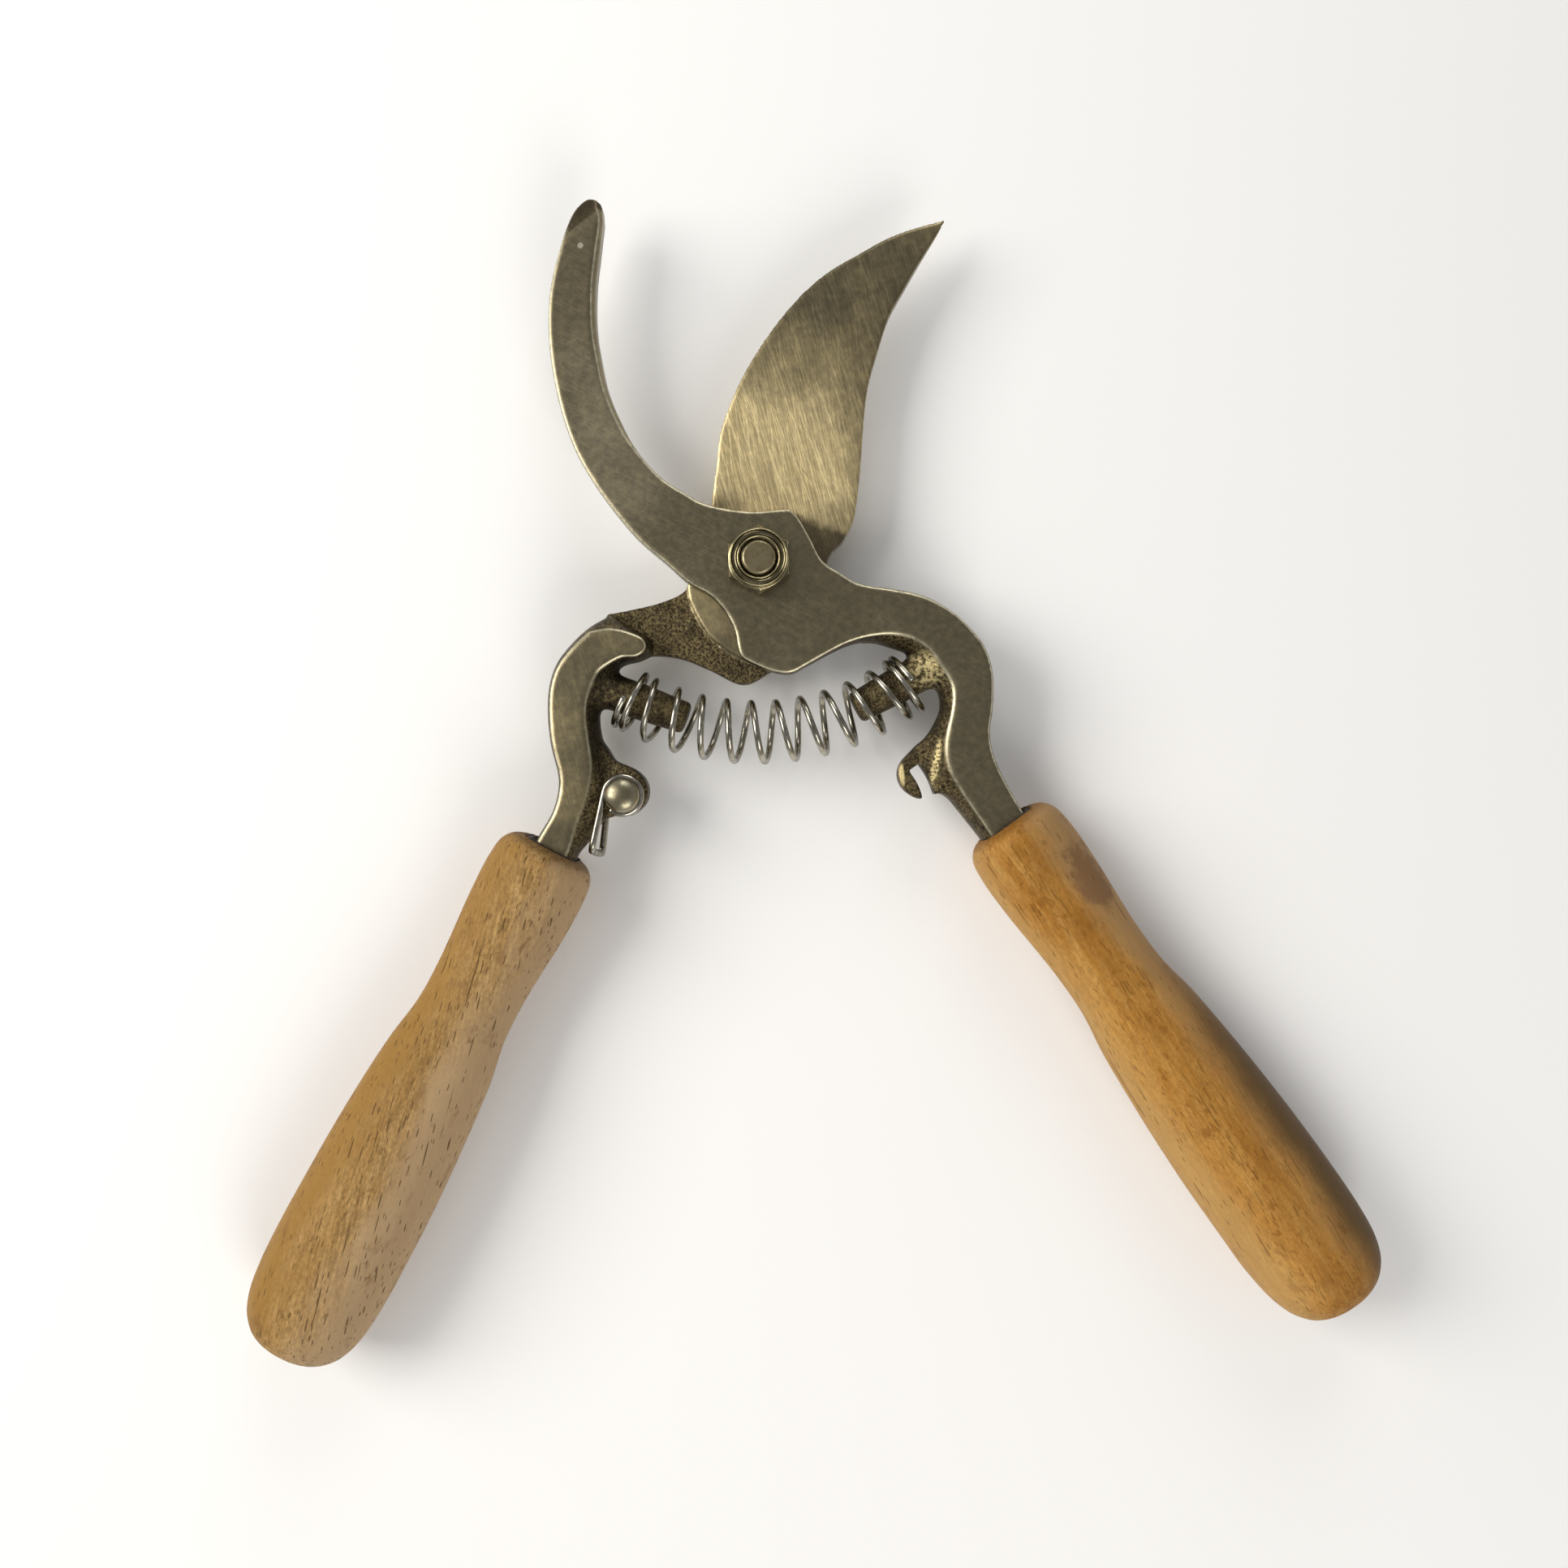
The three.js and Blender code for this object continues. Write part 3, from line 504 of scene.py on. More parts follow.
def nut():
    """The profile turned round the bolt, with everything outside the hexagon cut back to its flats."""
    sides = 360
    turns = all_round(sides)
    to_flat = 5.0 / np.cos((turns - math.radians(NUT_ANGLE)) % (math.pi / 3) - math.pi / 6)
    rings = []
    for radius, z in np.vstack([smooth(stretch, 0.07) for stretch in NUT_PROFILE]):
        reach = np.minimum(radius, to_flat)
        rings.append(np.stack([reach * np.cos(turns), reach * np.sin(turns), np.full(sides, z)], 1))
    return np.vstack(rings), rings_to_faces(len(rings), sides, loop=True)


def bolt():
    x, y, z, axes = grid((-5.8, -5.8, 0), (5.8, 5.8, BOLT_END), FASTENER_STEP * 1.3)
    radius = np.hypot(x, y)[..., None]
    head = corner(hexagon(x, y, HEAD_ANGLE)[..., None], np.maximum(z - HEAD_TOP, -z), 0.25)
    head = np.maximum(head, (radius - CORNER_RADIUS + 0.2) * 0.5 + (0.5 - z) * 0.86)
    turn = np.arctan2(y, x)[..., None] / (2 * math.pi)
    groove = np.abs((z - turn) % 1.0 - 0.5)
    thread = BOLT_RADIUS - 0.55 * np.maximum(groove - 0.08, 0) * ease(z, 14.6, 15.4)
    shank = corner((radius - thread) * 0.9, z - BOLT_END, 0.2)
    shank = corner(shank, (radius - 2.55) * 0.8 + (z - BOLT_END) * 0.6, 0.15)
    shank = np.maximum(shank, HEAD_TOP - 1 - z)
    return skin(soft_join(head, shank, 0.3), axes)


def rivet():
    x, y, z, axes = grid((-26.2, -42.2, 4.1), (-19.8, -35.8, 15.8), FASTENER_STEP)
    radius = np.hypot(x - RIVET[0], y - RIVET[1])[..., None]
    dome = np.sqrt(radius**2 + ((z - RIVET_HEAD) * 1.62) ** 2) - 3.0
    head = corner(dome * 0.8, RIVET_HEAD - z, 0.25)
    shank = np.maximum(radius - RIVET_RADIUS, np.maximum(4.6 - z, z - 15))
    dents = 0.12 * lumps(x, y, 1.3, 6)
    tail = np.sqrt(radius**2 + ((z - RIVET_TAIL) * 2.1) ** 2) - 2.7 - dents[..., None]
    tail = corner(tail * 0.7, z - RIVET_TAIL, 0.2)
    return skin(np.minimum(np.minimum(head, shank), tail), axes)


def washer(centre, bore, ring):
    outer, rear, front = ring
    low = (centre[0] - outer, centre[1] - outer, rear)
    high = (centre[0] + outer, centre[1] + outer, front)
    x, y, z, axes = grid(low, high, FASTENER_STEP)
    radius = np.hypot(x - centre[0], y - centre[1])[..., None]
    shape = plate(np.maximum(radius - outer, bore - radius), z, rear, front, 0.18)
    return skin(shape, axes)


def all_round(sides):
    return np.linspace(0, 2 * math.pi, sides, endpoint=False)


def tube(path, radius, sides):
    """A round wire along a path, with rounded ends."""
    ahead = np.gradient(path, axis=0)
    ahead /= np.linalg.norm(ahead, axis=1)[:, None]
    normal = np.cross(ahead[0], (0.3, 0.2, 1.0))
    rings = []
    for place, along in zip(path, ahead, strict=True):
        normal = normal - along * (normal @ along)
        normal /= np.linalg.norm(normal)
        rings.append((place, normal, np.cross(along, normal)))
    turns = all_round(sides)[:, None]
    ends = [(0.0, -0.35), (0.55, -0.28), (0.85, -0.12)]
    stations = [(0, share, shift) for share, shift in ends]
    stations += [(i, 1.0, 0.0) for i in range(len(path))]
    stations += [(len(path) - 1, share, -shift) for share, shift in reversed(ends)]
    vertices = []
    for i, share, shift in stations:
        place, u, v = rings[i]
        centre = place + ahead[i] * shift * radius
        vertices.append(centre + radius * max(share, 0.02) * (np.cos(turns) * u + np.sin(turns) * v))
    return np.vstack(vertices), rings_to_faces(len(stations), sides), [s[0] for s in stations]


def rings_to_faces(rings, sides, loop=False):
    """Quads between neighbouring rings, and a flat end on the first and last unless they meet."""
    around = np.arange(sides)
    faces = []
    for i in range(rings if loop else rings - 1):
        a, b = i * sides, (i + 1) % rings * sides
        nxt = (around + 1) % sides
        faces += np.stack([a + around, a + nxt, b + nxt, b + around], 1).tolist()
    if not loop:
        faces.append(around[::-1].tolist())
        faces.append(((rings - 1) * sides + around).tolist())
    return faces


def bail_path():
    def half(z, side):
        bottom = np.append(on_circle(RIVET, LATCH_LENGTH, LATCH_ANGLE + side * LATCH_SLANT), z)
        tangent = LATCH_ANGLE - math.degrees(math.acos(EYE_RADIUS / LATCH_LENGTH))
        points = [np.append(on_circle(RIVET, EYE_RADIUS, tangent + t), z) for t in range(-300, 1, 15)]
        start = points[-1]
        along = (bottom - start) / np.linalg.norm(bottom - start)
        points.append(start + (bottom - start) * 0.45)
        for degrees in (0, 30, 60, 90):
            bend = math.radians(degrees)
            inward = np.array([0, 0, math.copysign(LATCH_BEND * (1 - math.cos(bend)), MIDDLE - z)])
            points.append(bottom - along * LATCH_BEND * (1 - math.sin(bend)) + inward)
        return points

    return smooth(half(FRONT_EYE, -1) + half(REAR_EYE, 1)[::-1], 0.3)


def spring_path():
    """The helix, and how far along the bent axis each of its points is, from 0 to 1."""
    turns = 2 * END_TURNS + OPEN_TURNS
    turn = np.linspace(0, turns, round(turns * (40)))
    arc = math.radians(SPRING_TO - SPRING_FROM) * SPRING_BEND
    open_pitch = (arc - 2 * END_TURNS * END_PITCH) / OPEN_TURNS
    along = np.minimum(turn, END_TURNS) * END_PITCH
    along += np.clip(turn - END_TURNS, 0, OPEN_TURNS) * open_pitch
    along += np.maximum(turn - END_TURNS - OPEN_TURNS, 0) * END_PITCH
    bend = math.radians(SPRING_FROM) + along / SPRING_BEND
    reach = SPRING_BEND + COIL_RADIUS * np.sin(2 * math.pi * turn)
    x = SPRING_CENTRE[0] + reach * np.cos(bend)
    y = SPRING_CENTRE[1] + reach * np.sin(bend)
    return np.stack([x, y, MIDDLE + COIL_RADIUS * np.cos(2 * math.pi * turn)], 1), along / arc


def to_frame(handle, local):
    """From a handle's own axes (across, down the handle, up) to the frame's."""
    (tx, ty), degrees, _ = handle
    dx, dy = math.cos(math.radians(degrees)), -math.sin(math.radians(degrees))
    across, along, up = local[:, 0], local[:, 1], local[:, 2]
    return np.stack([tx + across * -dy + along * dx, ty + across * dx + along * dy, MIDDLE + up], 1)


def rounded_box(turns, half_width, half_depth, power):
    """Points round a box with soft corners: power 2 is an ellipse, and more is squarer."""
    c, s = np.cos(turns), np.sin(turns)
    reach = (np.abs(c) ** power + np.abs(s) ** power) ** (-1 / power)
    return half_width * c * reach, half_depth * s * reach


def handle(place, seed):
    sides = 128
    turns = all_round(sides)
    profile = smooth([(r, t / 100 * place[2]) for t, r in HANDLE_PROFILE], 0.5)
    rings = []
    for t, (half_width, half_depth) in (
        (TANG_LENGTH, TANG_TIP),
        (RESIN_DEPTH, TANG_MOUTH),
        (RESIN_DEPTH, RESIN_MOUTH),
        (0.35, RESIN_MOUTH),
        (0.0, (RESIN_MOUTH[0] + 0.2, RESIN_MOUTH[1] + 0.2)),
    ):
        across, up = rounded_box(turns, half_width + 0.2, half_depth + 0.2, 6)
        rings.append(np.stack([across, np.full(sides, t), up], 1))
    for radius, t in profile:
        radius = max(radius, 0.02)
        settled = ease(t, 0, SETTLE)
        flattening = MOUTH_FLATTENING + (FLATTENING - MOUTH_FLATTENING) * settled
        across, up = rounded_box(turns, radius, radius * flattening, 2.0 + 0.15 * settled)
        wear_and_edge_highlight = 1 - 0.006 * (1 + lumps(turns * 4 / math.pi * 4, np.full(sides, t / 9), 1.0, seed))
        rings.append(np.stack([across * wear_and_edge_highlight, np.full(sides, t), up * wear_and_edge_highlight], 1))
    vertices = to_frame(place, np.vstack(rings))
    return vertices, rings_to_faces(len(rings), sides)


def resin_ring(place, seed):
    """Resin round the tang, sunk a little and uneven where it was wiped off."""
    sides = 96
    turns = all_round(sides)
    uneven = 0.12 * lumps(turns * 5, np.full(sides, seed), 1.0, seed)
    rings = []
    bottom = RESIN_DEPTH - 0.3
    for across_share, t in ((1, 0.1), (1, bottom), (0, bottom), (0, -0.25), (0.45, -0.1)):
        half_width = TANG_MOUTH[0] + 0.02 + (RESIN_MOUTH[0] - TANG_MOUTH[0]) * across_share
        half_depth = TANG_MOUTH[1] + 0.02 + (RESIN_MOUTH[1] - TANG_MOUTH[1]) * across_share
        across, up = rounded_box(turns, half_width, half_depth, 6)
        rings.append(np.stack([across, t + uneven * (t < 1), up], 1))
    return to_frame(place, np.vstack(rings)), rings_to_faces(len(rings), sides, loop=True)


# ---- Materials ----


def srgb(red, green, blue):
    """A colour as an eye sees it, 0 to 255, turned into the linear values that shaders take."""
    return (*[((c / 255 + 0.055) / 1.055) ** 2.4 for c in (red, green, blue)], 1.0)


class Look:
    """A material being put together. Each method adds one node and returns its output."""

    def __init__(self, name, **settings):
        self.material = bpy.data.materials.new(name)
        self.material.use_nodes = True
        self.tree = self.material.node_tree
        self.shader = self.tree.nodes["Principled BSDF"]
        self.object_place = self.tree.nodes.new("ShaderNodeTexCoord").outputs["Object"]
        for key, value in settings.items():
            self.put(self.shader.inputs[key.replace("_", " ")], value)

    def put(self, socket, value):
        if isinstance(value, bpy.types.NodeSocket):
            self.tree.links.new(value, socket)
        else:
            socket.default_value = value

    def add(self, kind, output, inputs, **settings):
        node = self.tree.nodes.new("ShaderNode" + kind)
        for key, value in settings.items():
            setattr(node, key, value)
        for key, value in inputs.items():
            self.put(node.inputs[key], value)
        return node.outputs[output]

    def place(self, size=1, degrees=0, at=(0, 0, 0)):
        """Coordinates from a point, turned about Z, that grow by 1 in each size: one or three, in mm."""
        inputs = {
            "Vector": self.object_place,
            "Location": [c * MM for c in at],
            "Rotation": (0, 0, math.radians(degrees)),
            "Scale": np.broadcast_to(size, 3) * MM,
        }
        return self.add("Mapping", "Vector", inputs, vector_type="TEXTURE")

    def axis(self, vector, letter):
        return self.add("SeparateXYZ", letter, {"Vector": vector})

    def noise(self, vector, detail=4.0, roughness=0.55, distortion=0.0):
        inputs = {"Vector": vector, "Scale": 1.0, "Detail": detail, "Roughness": roughness}
        return self.add("TexNoise", "Fac", inputs | {"Distortion": distortion})

    def step(self, value, low, high):
        """0 below low, 1 above high, and smooth between."""
        inputs = {"Value": value, "From Min": low, "From Max": high}
        return self.add("MapRange", "Result", inputs, interpolation_type="SMOOTHSTEP")

    def range(self, value, low, high):
        """A 0 to 1 value spread from low to high."""
        return self.add("MapRange", "Result", {"Value": value, "To Min": low, "To Max": high})

    def maths(self, operation, a, b=0.0):
        return self.add("Math", 0, {0: a, 1: b}, operation=operation)

    def times(self, a, b):
        return self.maths("MULTIPLY", a, b)

    def length(self, vector):
        return self.add("VectorMath", "Value", {0: vector}, operation="LENGTH")

    def rounded_edge(self):
        """1 where the surface turns from facing up or down to facing sideways."""
        tilt = self.maths("ABSOLUTE", self.axis(self.add("NewGeometry", "Normal", {}), "Z"))
        return self.times(self.step(tilt, 0.2, 0.5), self.step(tilt, 0.97, 0.8))

    def mix(self, share, a, b, mode="MIX"):
        return self.add("Mix", 2, {0: share, 6: a, 7: b}, data_type="RGBA", blend_type=mode)

    def relief(self, height, depth):
        return self.add("Bump", "Normal", {"Height": height, "Distance": depth * MM, "Strength": 1.0})

    def finish(self, colour, roughness, normal=None):
        for key, value in (("Base Color", colour), ("Roughness", roughness), ("Normal", normal)):
            if value is not None:
                self.put(self.shader.inputs[key], value)
        return self.material


def forged_steel(name, ground_share, tones, scratch_degrees, scratch_strength, sheen, marks):
    """Forged steel: ground and oiled where ground_share(look) is 1, and with its cast skin where it is 0.

    sheen(look) is a painted sheen: 1 where the steel is painted pale as if it caught the light, and 0 where
    it is painted darker. marks(look, colour, cast) returns the ground and the cast colour with what one arm
    alone shows.
    """
    look = Look(name, Metallic=1.0)
    dark, middle, light = tones
    clouds = look.noise(look.place(12), 5, 0.62)
    haze = look.noise(look.place(1.3), 6, 0.68)
    # painted sheen: the steel painted paler where it should look lit
    painted_sheen = sheen(look)
    pale = look.maths("ADD", painted_sheen, look.range(look.step(clouds, 0.3, 0.7), -0.22, 0.3))
    colour = look.mix(look.step(pale, 0.0, 0.55), dark, middle)
    colour = look.mix(look.step(pale, 0.5, 1.05), colour, light)
    smudge = look.mix(look.step(haze, 0.36, 0.68), (0.86, 0.86, 0.88, 1), (1.1, 1.09, 1.06, 1))
    colour = look.mix(1.0, colour, smudge, "MULTIPLY")
    lines = 0.0
    for turn, size, sparseness, weight in SCRATCHES:
        grooves = look.noise(look.place(size, scratch_degrees + turn), 1, 0.5)
        share = look.times(look.step(grooves, sparseness, sparseness + 0.14), weight)
        lines = look.maths("ADD", lines, share)
    scratched = look.mix(1.0, colour, look.mix(lines, (0.7, 0.68, 0.64, 1), (1.3, 1.3, 1.28, 1)), "MULTIPLY")
    blade = look.step(look.axis(look.place(), "Y"), -2, 6)
    strength = look.times(blade, look.range(painted_sheen, 0.4 * scratch_strength, scratch_strength))
    colour = look.mix(look.maths("ADD", strength, 0.06), colour, scratched)

    grit = look.noise(look.place(0.45), 4, 0.62)
    scale = look.noise(look.place(2.6), 4, 0.6)
    cast = look.mix(look.step(grit, 0.33, 0.7), CAST_DARK, CAST_LIGHT)
    cast = look.mix(look.times(look.step(scale, 0.42, 0.66), 0.55), cast, CAST_SCALE_AND_SHADE)
    colour, cast = marks(look, colour, cast)
    ground = ground_share(look)
    colour = look.mix(ground, cast, colour)
    # painted highlights along the rounded edges of the flat sides
    wear_and_edge_highlight = look.times(look.rounded_edge(), look.range(look.step(haze, 0.3, 0.6), 0.35, 0.9))
    wear_and_edge_highlight = look.times(wear_and_edge_highlight, look.step(height_from_middle(look), 3.95, 4.3))
    colour = look.mix(wear_and_edge_highlight, colour, EDGE_SHINE)
    polish = look.maths("ADD", look.times(haze, 0.6), look.times(lines, 0.25))
    roughness = look.mix(ground, look.range(grit, 0.3, 0.62), look.range(polish, 0.26, 0.48))
    cast_relief = look.relief(look.maths("ADD", grit, look.times(scale, 1.5)), 0.22)
    normal = look.mix(ground, cast_relief, look.relief(lines, 0.004))
    # less metallic under the painted sheen and the painted edge highlights; crossed scratches scatter light
    # as a matt surface does
    matt = look.maths("MAXIMUM", look.times(painted_sheen, ground), look.times(wear_and_edge_highlight, 0.9))
    look.put(look.shader.inputs["Metallic"], look.range(matt, 1.0, 0.55))
    return look.finish(colour, roughness, normal)


def near(look, point, size, low, high, degrees=0):
    """1 at a point, falling to 0: low and high are distances from it in units of size."""
    return look.step(look.length(look.place(size, degrees, point)), high, low)


def height_from_middle(look):
    return look.maths("ABSOLUTE", look.axis(look.place(at=(0, 0, MIDDLE)), "Z"))


def flat_face(look):
    """1 on the flat sides of an arm and 0 on the slopes between them."""
    return look.step(height_from_middle(look), 3.8, 4.25)


def hook_ground(look):
    """The arm's flat sides and the whole hook: not the lug, the stud or the arm's slopes."""
    hook = look.step(look.axis(look.place(), "Y"), -8, -3)
    return look.maths("MAXIMUM", flat_face(look), hook)


def blade_ground(look):
    """The arm's flat sides, the boss and the blade: not the bridge, the lug or the stud."""
    uneven = look.range(look.noise(look.place(1.6), 3), -0.5, 0.5)
    boss = look.place(at=(*BOSS_CENTRE, BLADE_FACE))
    inside = look.step(look.maths("ADD", look.length(boss), uneven), BOSS_RADIUS + 0.5, BOSS_RADIUS + 0.1)
    blade = look.step(look.axis(look.place(), "Y"), 2, 6)
    return look.maths("MAXIMUM", flat_face(look), look.maths("MAXIMUM", inside, blade))


def hook_painted_sheen(look):
    """Painted sheen: paler over the middle of the hook."""
    bow = near(look, (-26, 20, FRONT), (16, 26, 40), 0.1, 1.0)
    return look.times(bow, 0.35)


def hook_marks(look, colour, cast):
    """Painted shade on the slope at the tip, a pale spot below it, and painted brassy highlights on the
    stud, the cast bead and the lug's rim.
    """
    # painted shade on the falling slope of the tip
    beyond = look.axis(look.place(1, 38, (*TIP_BROW, FRONT)), "Y")
    colour = look.mix(look.times(look.step(beyond, -0.1, 0.4), 0.7), colour, srgb(70, 58, 42))
    colour = look.mix(near(look, (-29.9, 53.0, FRONT), (1, 1, 1), 0.35, 0.6), colour, srgb(214, 206, 184))
    # painted brassy highlights on the stud, along the cast bead and on the lug's rim
    painted_glint = look.step(look.noise(look.place(0.8), 3), 0.4, 0.6)
    stud = near(look, (28.0, -18.5, FRONT), (4.5, 5, 8), 0.3, 1.1)
    cast = look.mix(look.times(look.times(stud, painted_glint), 0.75), cast, BRASS_HIGHLIGHT)
    bead = near(look, (29.7, -33.5, LUG_FRONT), (0.8, 4.8, 3), 0.5, 1.1, -10)
    rim = near(look, (23.95, -35.3, LUG_FRONT), (0.55, 2.4, 3), 0.4, 1.2, 8)
    glitter = look.step(look.noise(look.place(0.5), 2), 0.42, 0.56)
    bright = look.maths("MAXIMUM", look.times(bead, glitter), rim)
    return colour, look.mix(bright, cast, BRASS_HIGHLIGHT)


def blade_marks(look, colour, cast):
    """Small pits, a painted shadow where the hook's plate overhangs the blade, painted shade on the arm's
    inner side and painted highlights on the stud.
    """
    cells = {"Vector": look.place(4.5), "Scale": 1.0}
    lot = look.axis(look.add("TexVoronoi", "Color", cells), "Y")
    distance = look.add("TexVoronoi", "Distance", cells)
    pits = look.step(look.maths("SUBTRACT", look.range(lot, -0.12, 0.09), distance), -0.01, 0.02)
    colour = look.mix(look.times(pits, 0.6), colour, CAST_DARK)
    # painted shadow of the hook's plate on the blade, and painted shade in the notch beside it
    waver = look.range(look.noise(look.place(2), 3), -1.2, 1.2)
    below = look.maths("ADD", look.axis(look.place(1, -20, (5.1, 9.0, BLADE_FACE)), "Y"), waver)
    right = look.step(look.axis(look.place(), "X"), 3, 5)
    painted_shade = look.times(look.step(below, 0.9, -1.0), right)
    notch = near(look, (-6.5, 10.0, BLADE_FACE), (6, 3, 9), 0.2, 1.1)
    painted_shade = look.maths("MAXIMUM", look.times(painted_shade, 0.8), look.times(notch, 0.5))
    colour = look.mix(painted_shade, colour, srgb(58, 48, 34))
    # painted shade on the arm's inner side, in the crease between its face and the stud
    inner = near(look, (-27, -24, MIDDLE), (7, 14, 9), 0.5, 1.1)
    cast = look.mix(look.times(inner, 0.6), cast, CAST_SCALE_AND_SHADE)
    # painted highlights on the stud
    painted_glint = look.step(look.noise(look.place(1.0), 3), 0.5, 0.62)
    stud = near(look, (-21, -23, FRONT), (10, 5, 6), 0.5, 1.0)
    return colour, look.mix(look.times(look.times(stud, painted_glint), 0.6), cast, CAST_LIGHT)


def blade_painted_sheen(look):
    """Painted sheen: paler low on the blade and a little on the arm, darker towards the tip and the back."""
    painted_sheen = near(look, (-1, 14, BLADE_FACE), (33, 31, 60), 0.3, 1.12)
    arm = near(look, (-34, -26, FRONT), (9, 20, 60), 0.1, 1.2)
    return look.maths("ADD", painted_sheen, look.times(arm, 0.14))


def plain_metal(name, colour, dull, roughness, speck):
    """Plated or drawn metal with a faint bloom, small specks of dirt and painted highlights on its rounded
    edges.
    """
    look = Look(name, Metallic=1.0)
    bloom = look.noise(look.place(1.6), 5, 0.65)
    specks = look.noise(look.place(speck), 4, 0.7)
    mixed = look.mix(look.step(bloom, 0.38, 0.66), colour, dull)
    mixed = look.mix(look.times(look.step(specks, 0.6, 0.76), 0.4), mixed, CAST_DARK)
    # painted highlights on the rounded edges
    mixed = look.mix(look.times(look.rounded_edge(), 0.2), mixed, EDGE_SHINE)
    rough = look.range(look.step(bloom, 0.3, 0.7), roughness * 0.75, roughness * 1.35)
    return look.finish(mixed, rough, look.relief(bloom, 0.01))


def nut_plate():
    """Zinc plate that is bright on the rims, with painted shade in the dish and on the hexagon's corners
    below the collar.
    """
    look = Look("nut_plate", Metallic=1.0)
    bloom = look.noise(look.place(1.6), 5, 0.65)
    radius = look.length(look.place((1, 1, 100), at=(0, 0, NUT_TOP)))
    # painted shade in the dish and on the hexagon's corners beyond the collar
    dish = look.times(look.step(radius, 3.5, 3.65), look.step(radius, 4.55, 4.4))
    painted_shade = look.maths("MAXIMUM", dish, look.step(radius, 4.85, 5.05))
    colour = look.mix(look.step(bloom, 0.38, 0.66), srgb(196, 186, 146), srgb(160, 150, 116))
    colour = look.mix(look.times(painted_shade, 0.75), colour, srgb(72, 64, 46))
    return look.finish(colour, look.range(bloom, 0.12, 0.3))


def wood(name, place, grain_slope, tones, coarseness, marks):
    """Turned hardwood: fibres and short dark pores that run a little askew to the handle."""
    look = Look(name, Specular_IOR_Level=0.12)
    (x, y), degrees, _ = place
    turn = -degrees - 90

    def local(size, at=(0, 0, 0), slope=0.0):
        """Coordinates across, along and above the handle's axis."""
        dx, dy = math.cos(math.radians(turn)), math.sin(math.radians(turn))
        place_x = x + at[0] * dx - at[1] * dy
        place_y = y + at[0] * dy + at[1] * dx
        return look.place(size, turn + slope, (place_x, place_y, MIDDLE + at[2]))

    def grain(size):
        return local(size, slope=grain_slope)

    dark, middle, light, pore = tones
    figure = look.noise(grain((6, 30, 6)), 4, 0.55, 0.4)
    streaks = look.noise(grain((1.0, 15, 1.0)), 4, 0.6)
    fibres = look.noise(grain((0.35, 3.2, 0.8)), 3, 0.6)
    sand = look.noise(grain((0.5, 0.8, 0.5)), 3, 0.7)
    patches = look.noise(local((4, 9, 4)), 6, 0.68)
    colour = look.mix(look.step(figure, 0.34, 0.66), dark, middle)
    colour = look.mix(look.times(look.step(streaks, 0.42, 0.7), 0.65), colour, light)
    low, high = 1 - 0.2 * coarseness, 1 + 0.12 * coarseness
    for texture in (fibres, sand):
        shade = look.mix(look.step(texture, 0.32, 0.68), (low, low, low * 0.95, 1), (high, high, high, 1))
        colour = look.mix(1.0, colour, shade, "MULTIPLY")
    grubby = look.times(look.step(patches, 0.48, 0.68), 0.55)
    colour = look.mix(grubby, colour, look.mix(1.0, colour, GRUBBY, "MULTIPLY"))
    colour = marks(look, colour, local)

    drift = look.add("TexNoise", "Color", {"Vector": grain((3, 9, 3)), "Scale": 1.0})
    depth = 0.0
    for size, narrowest, widest, strength in PORES:
        moved = look.add("VectorMath", "Vector", {0: grain(size), 1: drift}, operation="ADD")
        cells = {"Vector": moved, "Scale": 1.0}
        distance = look.add("TexVoronoi", "Distance", cells)
        lot = look.axis(look.add("TexVoronoi", "Color", cells), "X")
        width = look.range(lot, narrowest, widest)
        pores = look.step(look.maths("SUBTRACT", width, distance), -0.03, 0.06)
        colour = look.mix(look.times(pores, strength * coarseness), colour, pore)
        depth = look.maths("MAXIMUM", depth, pores)
    mouth = look.step(look.axis(local(1), "Y"), 1.6, 0.0)
    colour = look.mix(look.times(mouth, 0.6), colour, pore)
    dull = look.maths("ADD", look.times(fibres, 0.5), look.times(patches, 0.5))
    relief = look.maths("SUBTRACT", look.times(fibres, 0.4), depth)
    return look.finish(colour, look.range(dull, 0.42, 0.68), look.relief(relief, 0.09))


def worn_side(look, colour, local):
    """A grey, hand-worn stretch along the handle's inner side, and small dark nicks."""
    waver = look.range(look.noise(local((8, 26, 8)), 4), -7, 7)
    across = look.axis(local(1), "X")
    inner = look.step(look.maths("SUBTRACT", waver, across), WORN_FROM, WORN_FROM + 8)
    colour = look.mix(look.times(inner, 0.85), colour, srgb(178, 150, 114))
    sunned = look.step(look.maths("ADD", waver, across), 0, 8)
    colour = look.mix(look.times(sunned, 0.85), colour, srgb(146, 108, 48))
    blotches = look.noise(local((3.5, 6, 3.5)), 6, 0.7)
    colour = look.mix(look.times(look.step(blotches, 0.54, 0.66), 0.45), colour, srgb(122, 88, 52))
    nicks = look.noise(local((1.6, 2.6, 1.6)), 3, 0.5)
    return look.mix(look.times(look.step(nicks, 0.64, 0.74), 0.6), colour, srgb(112, 78, 44))


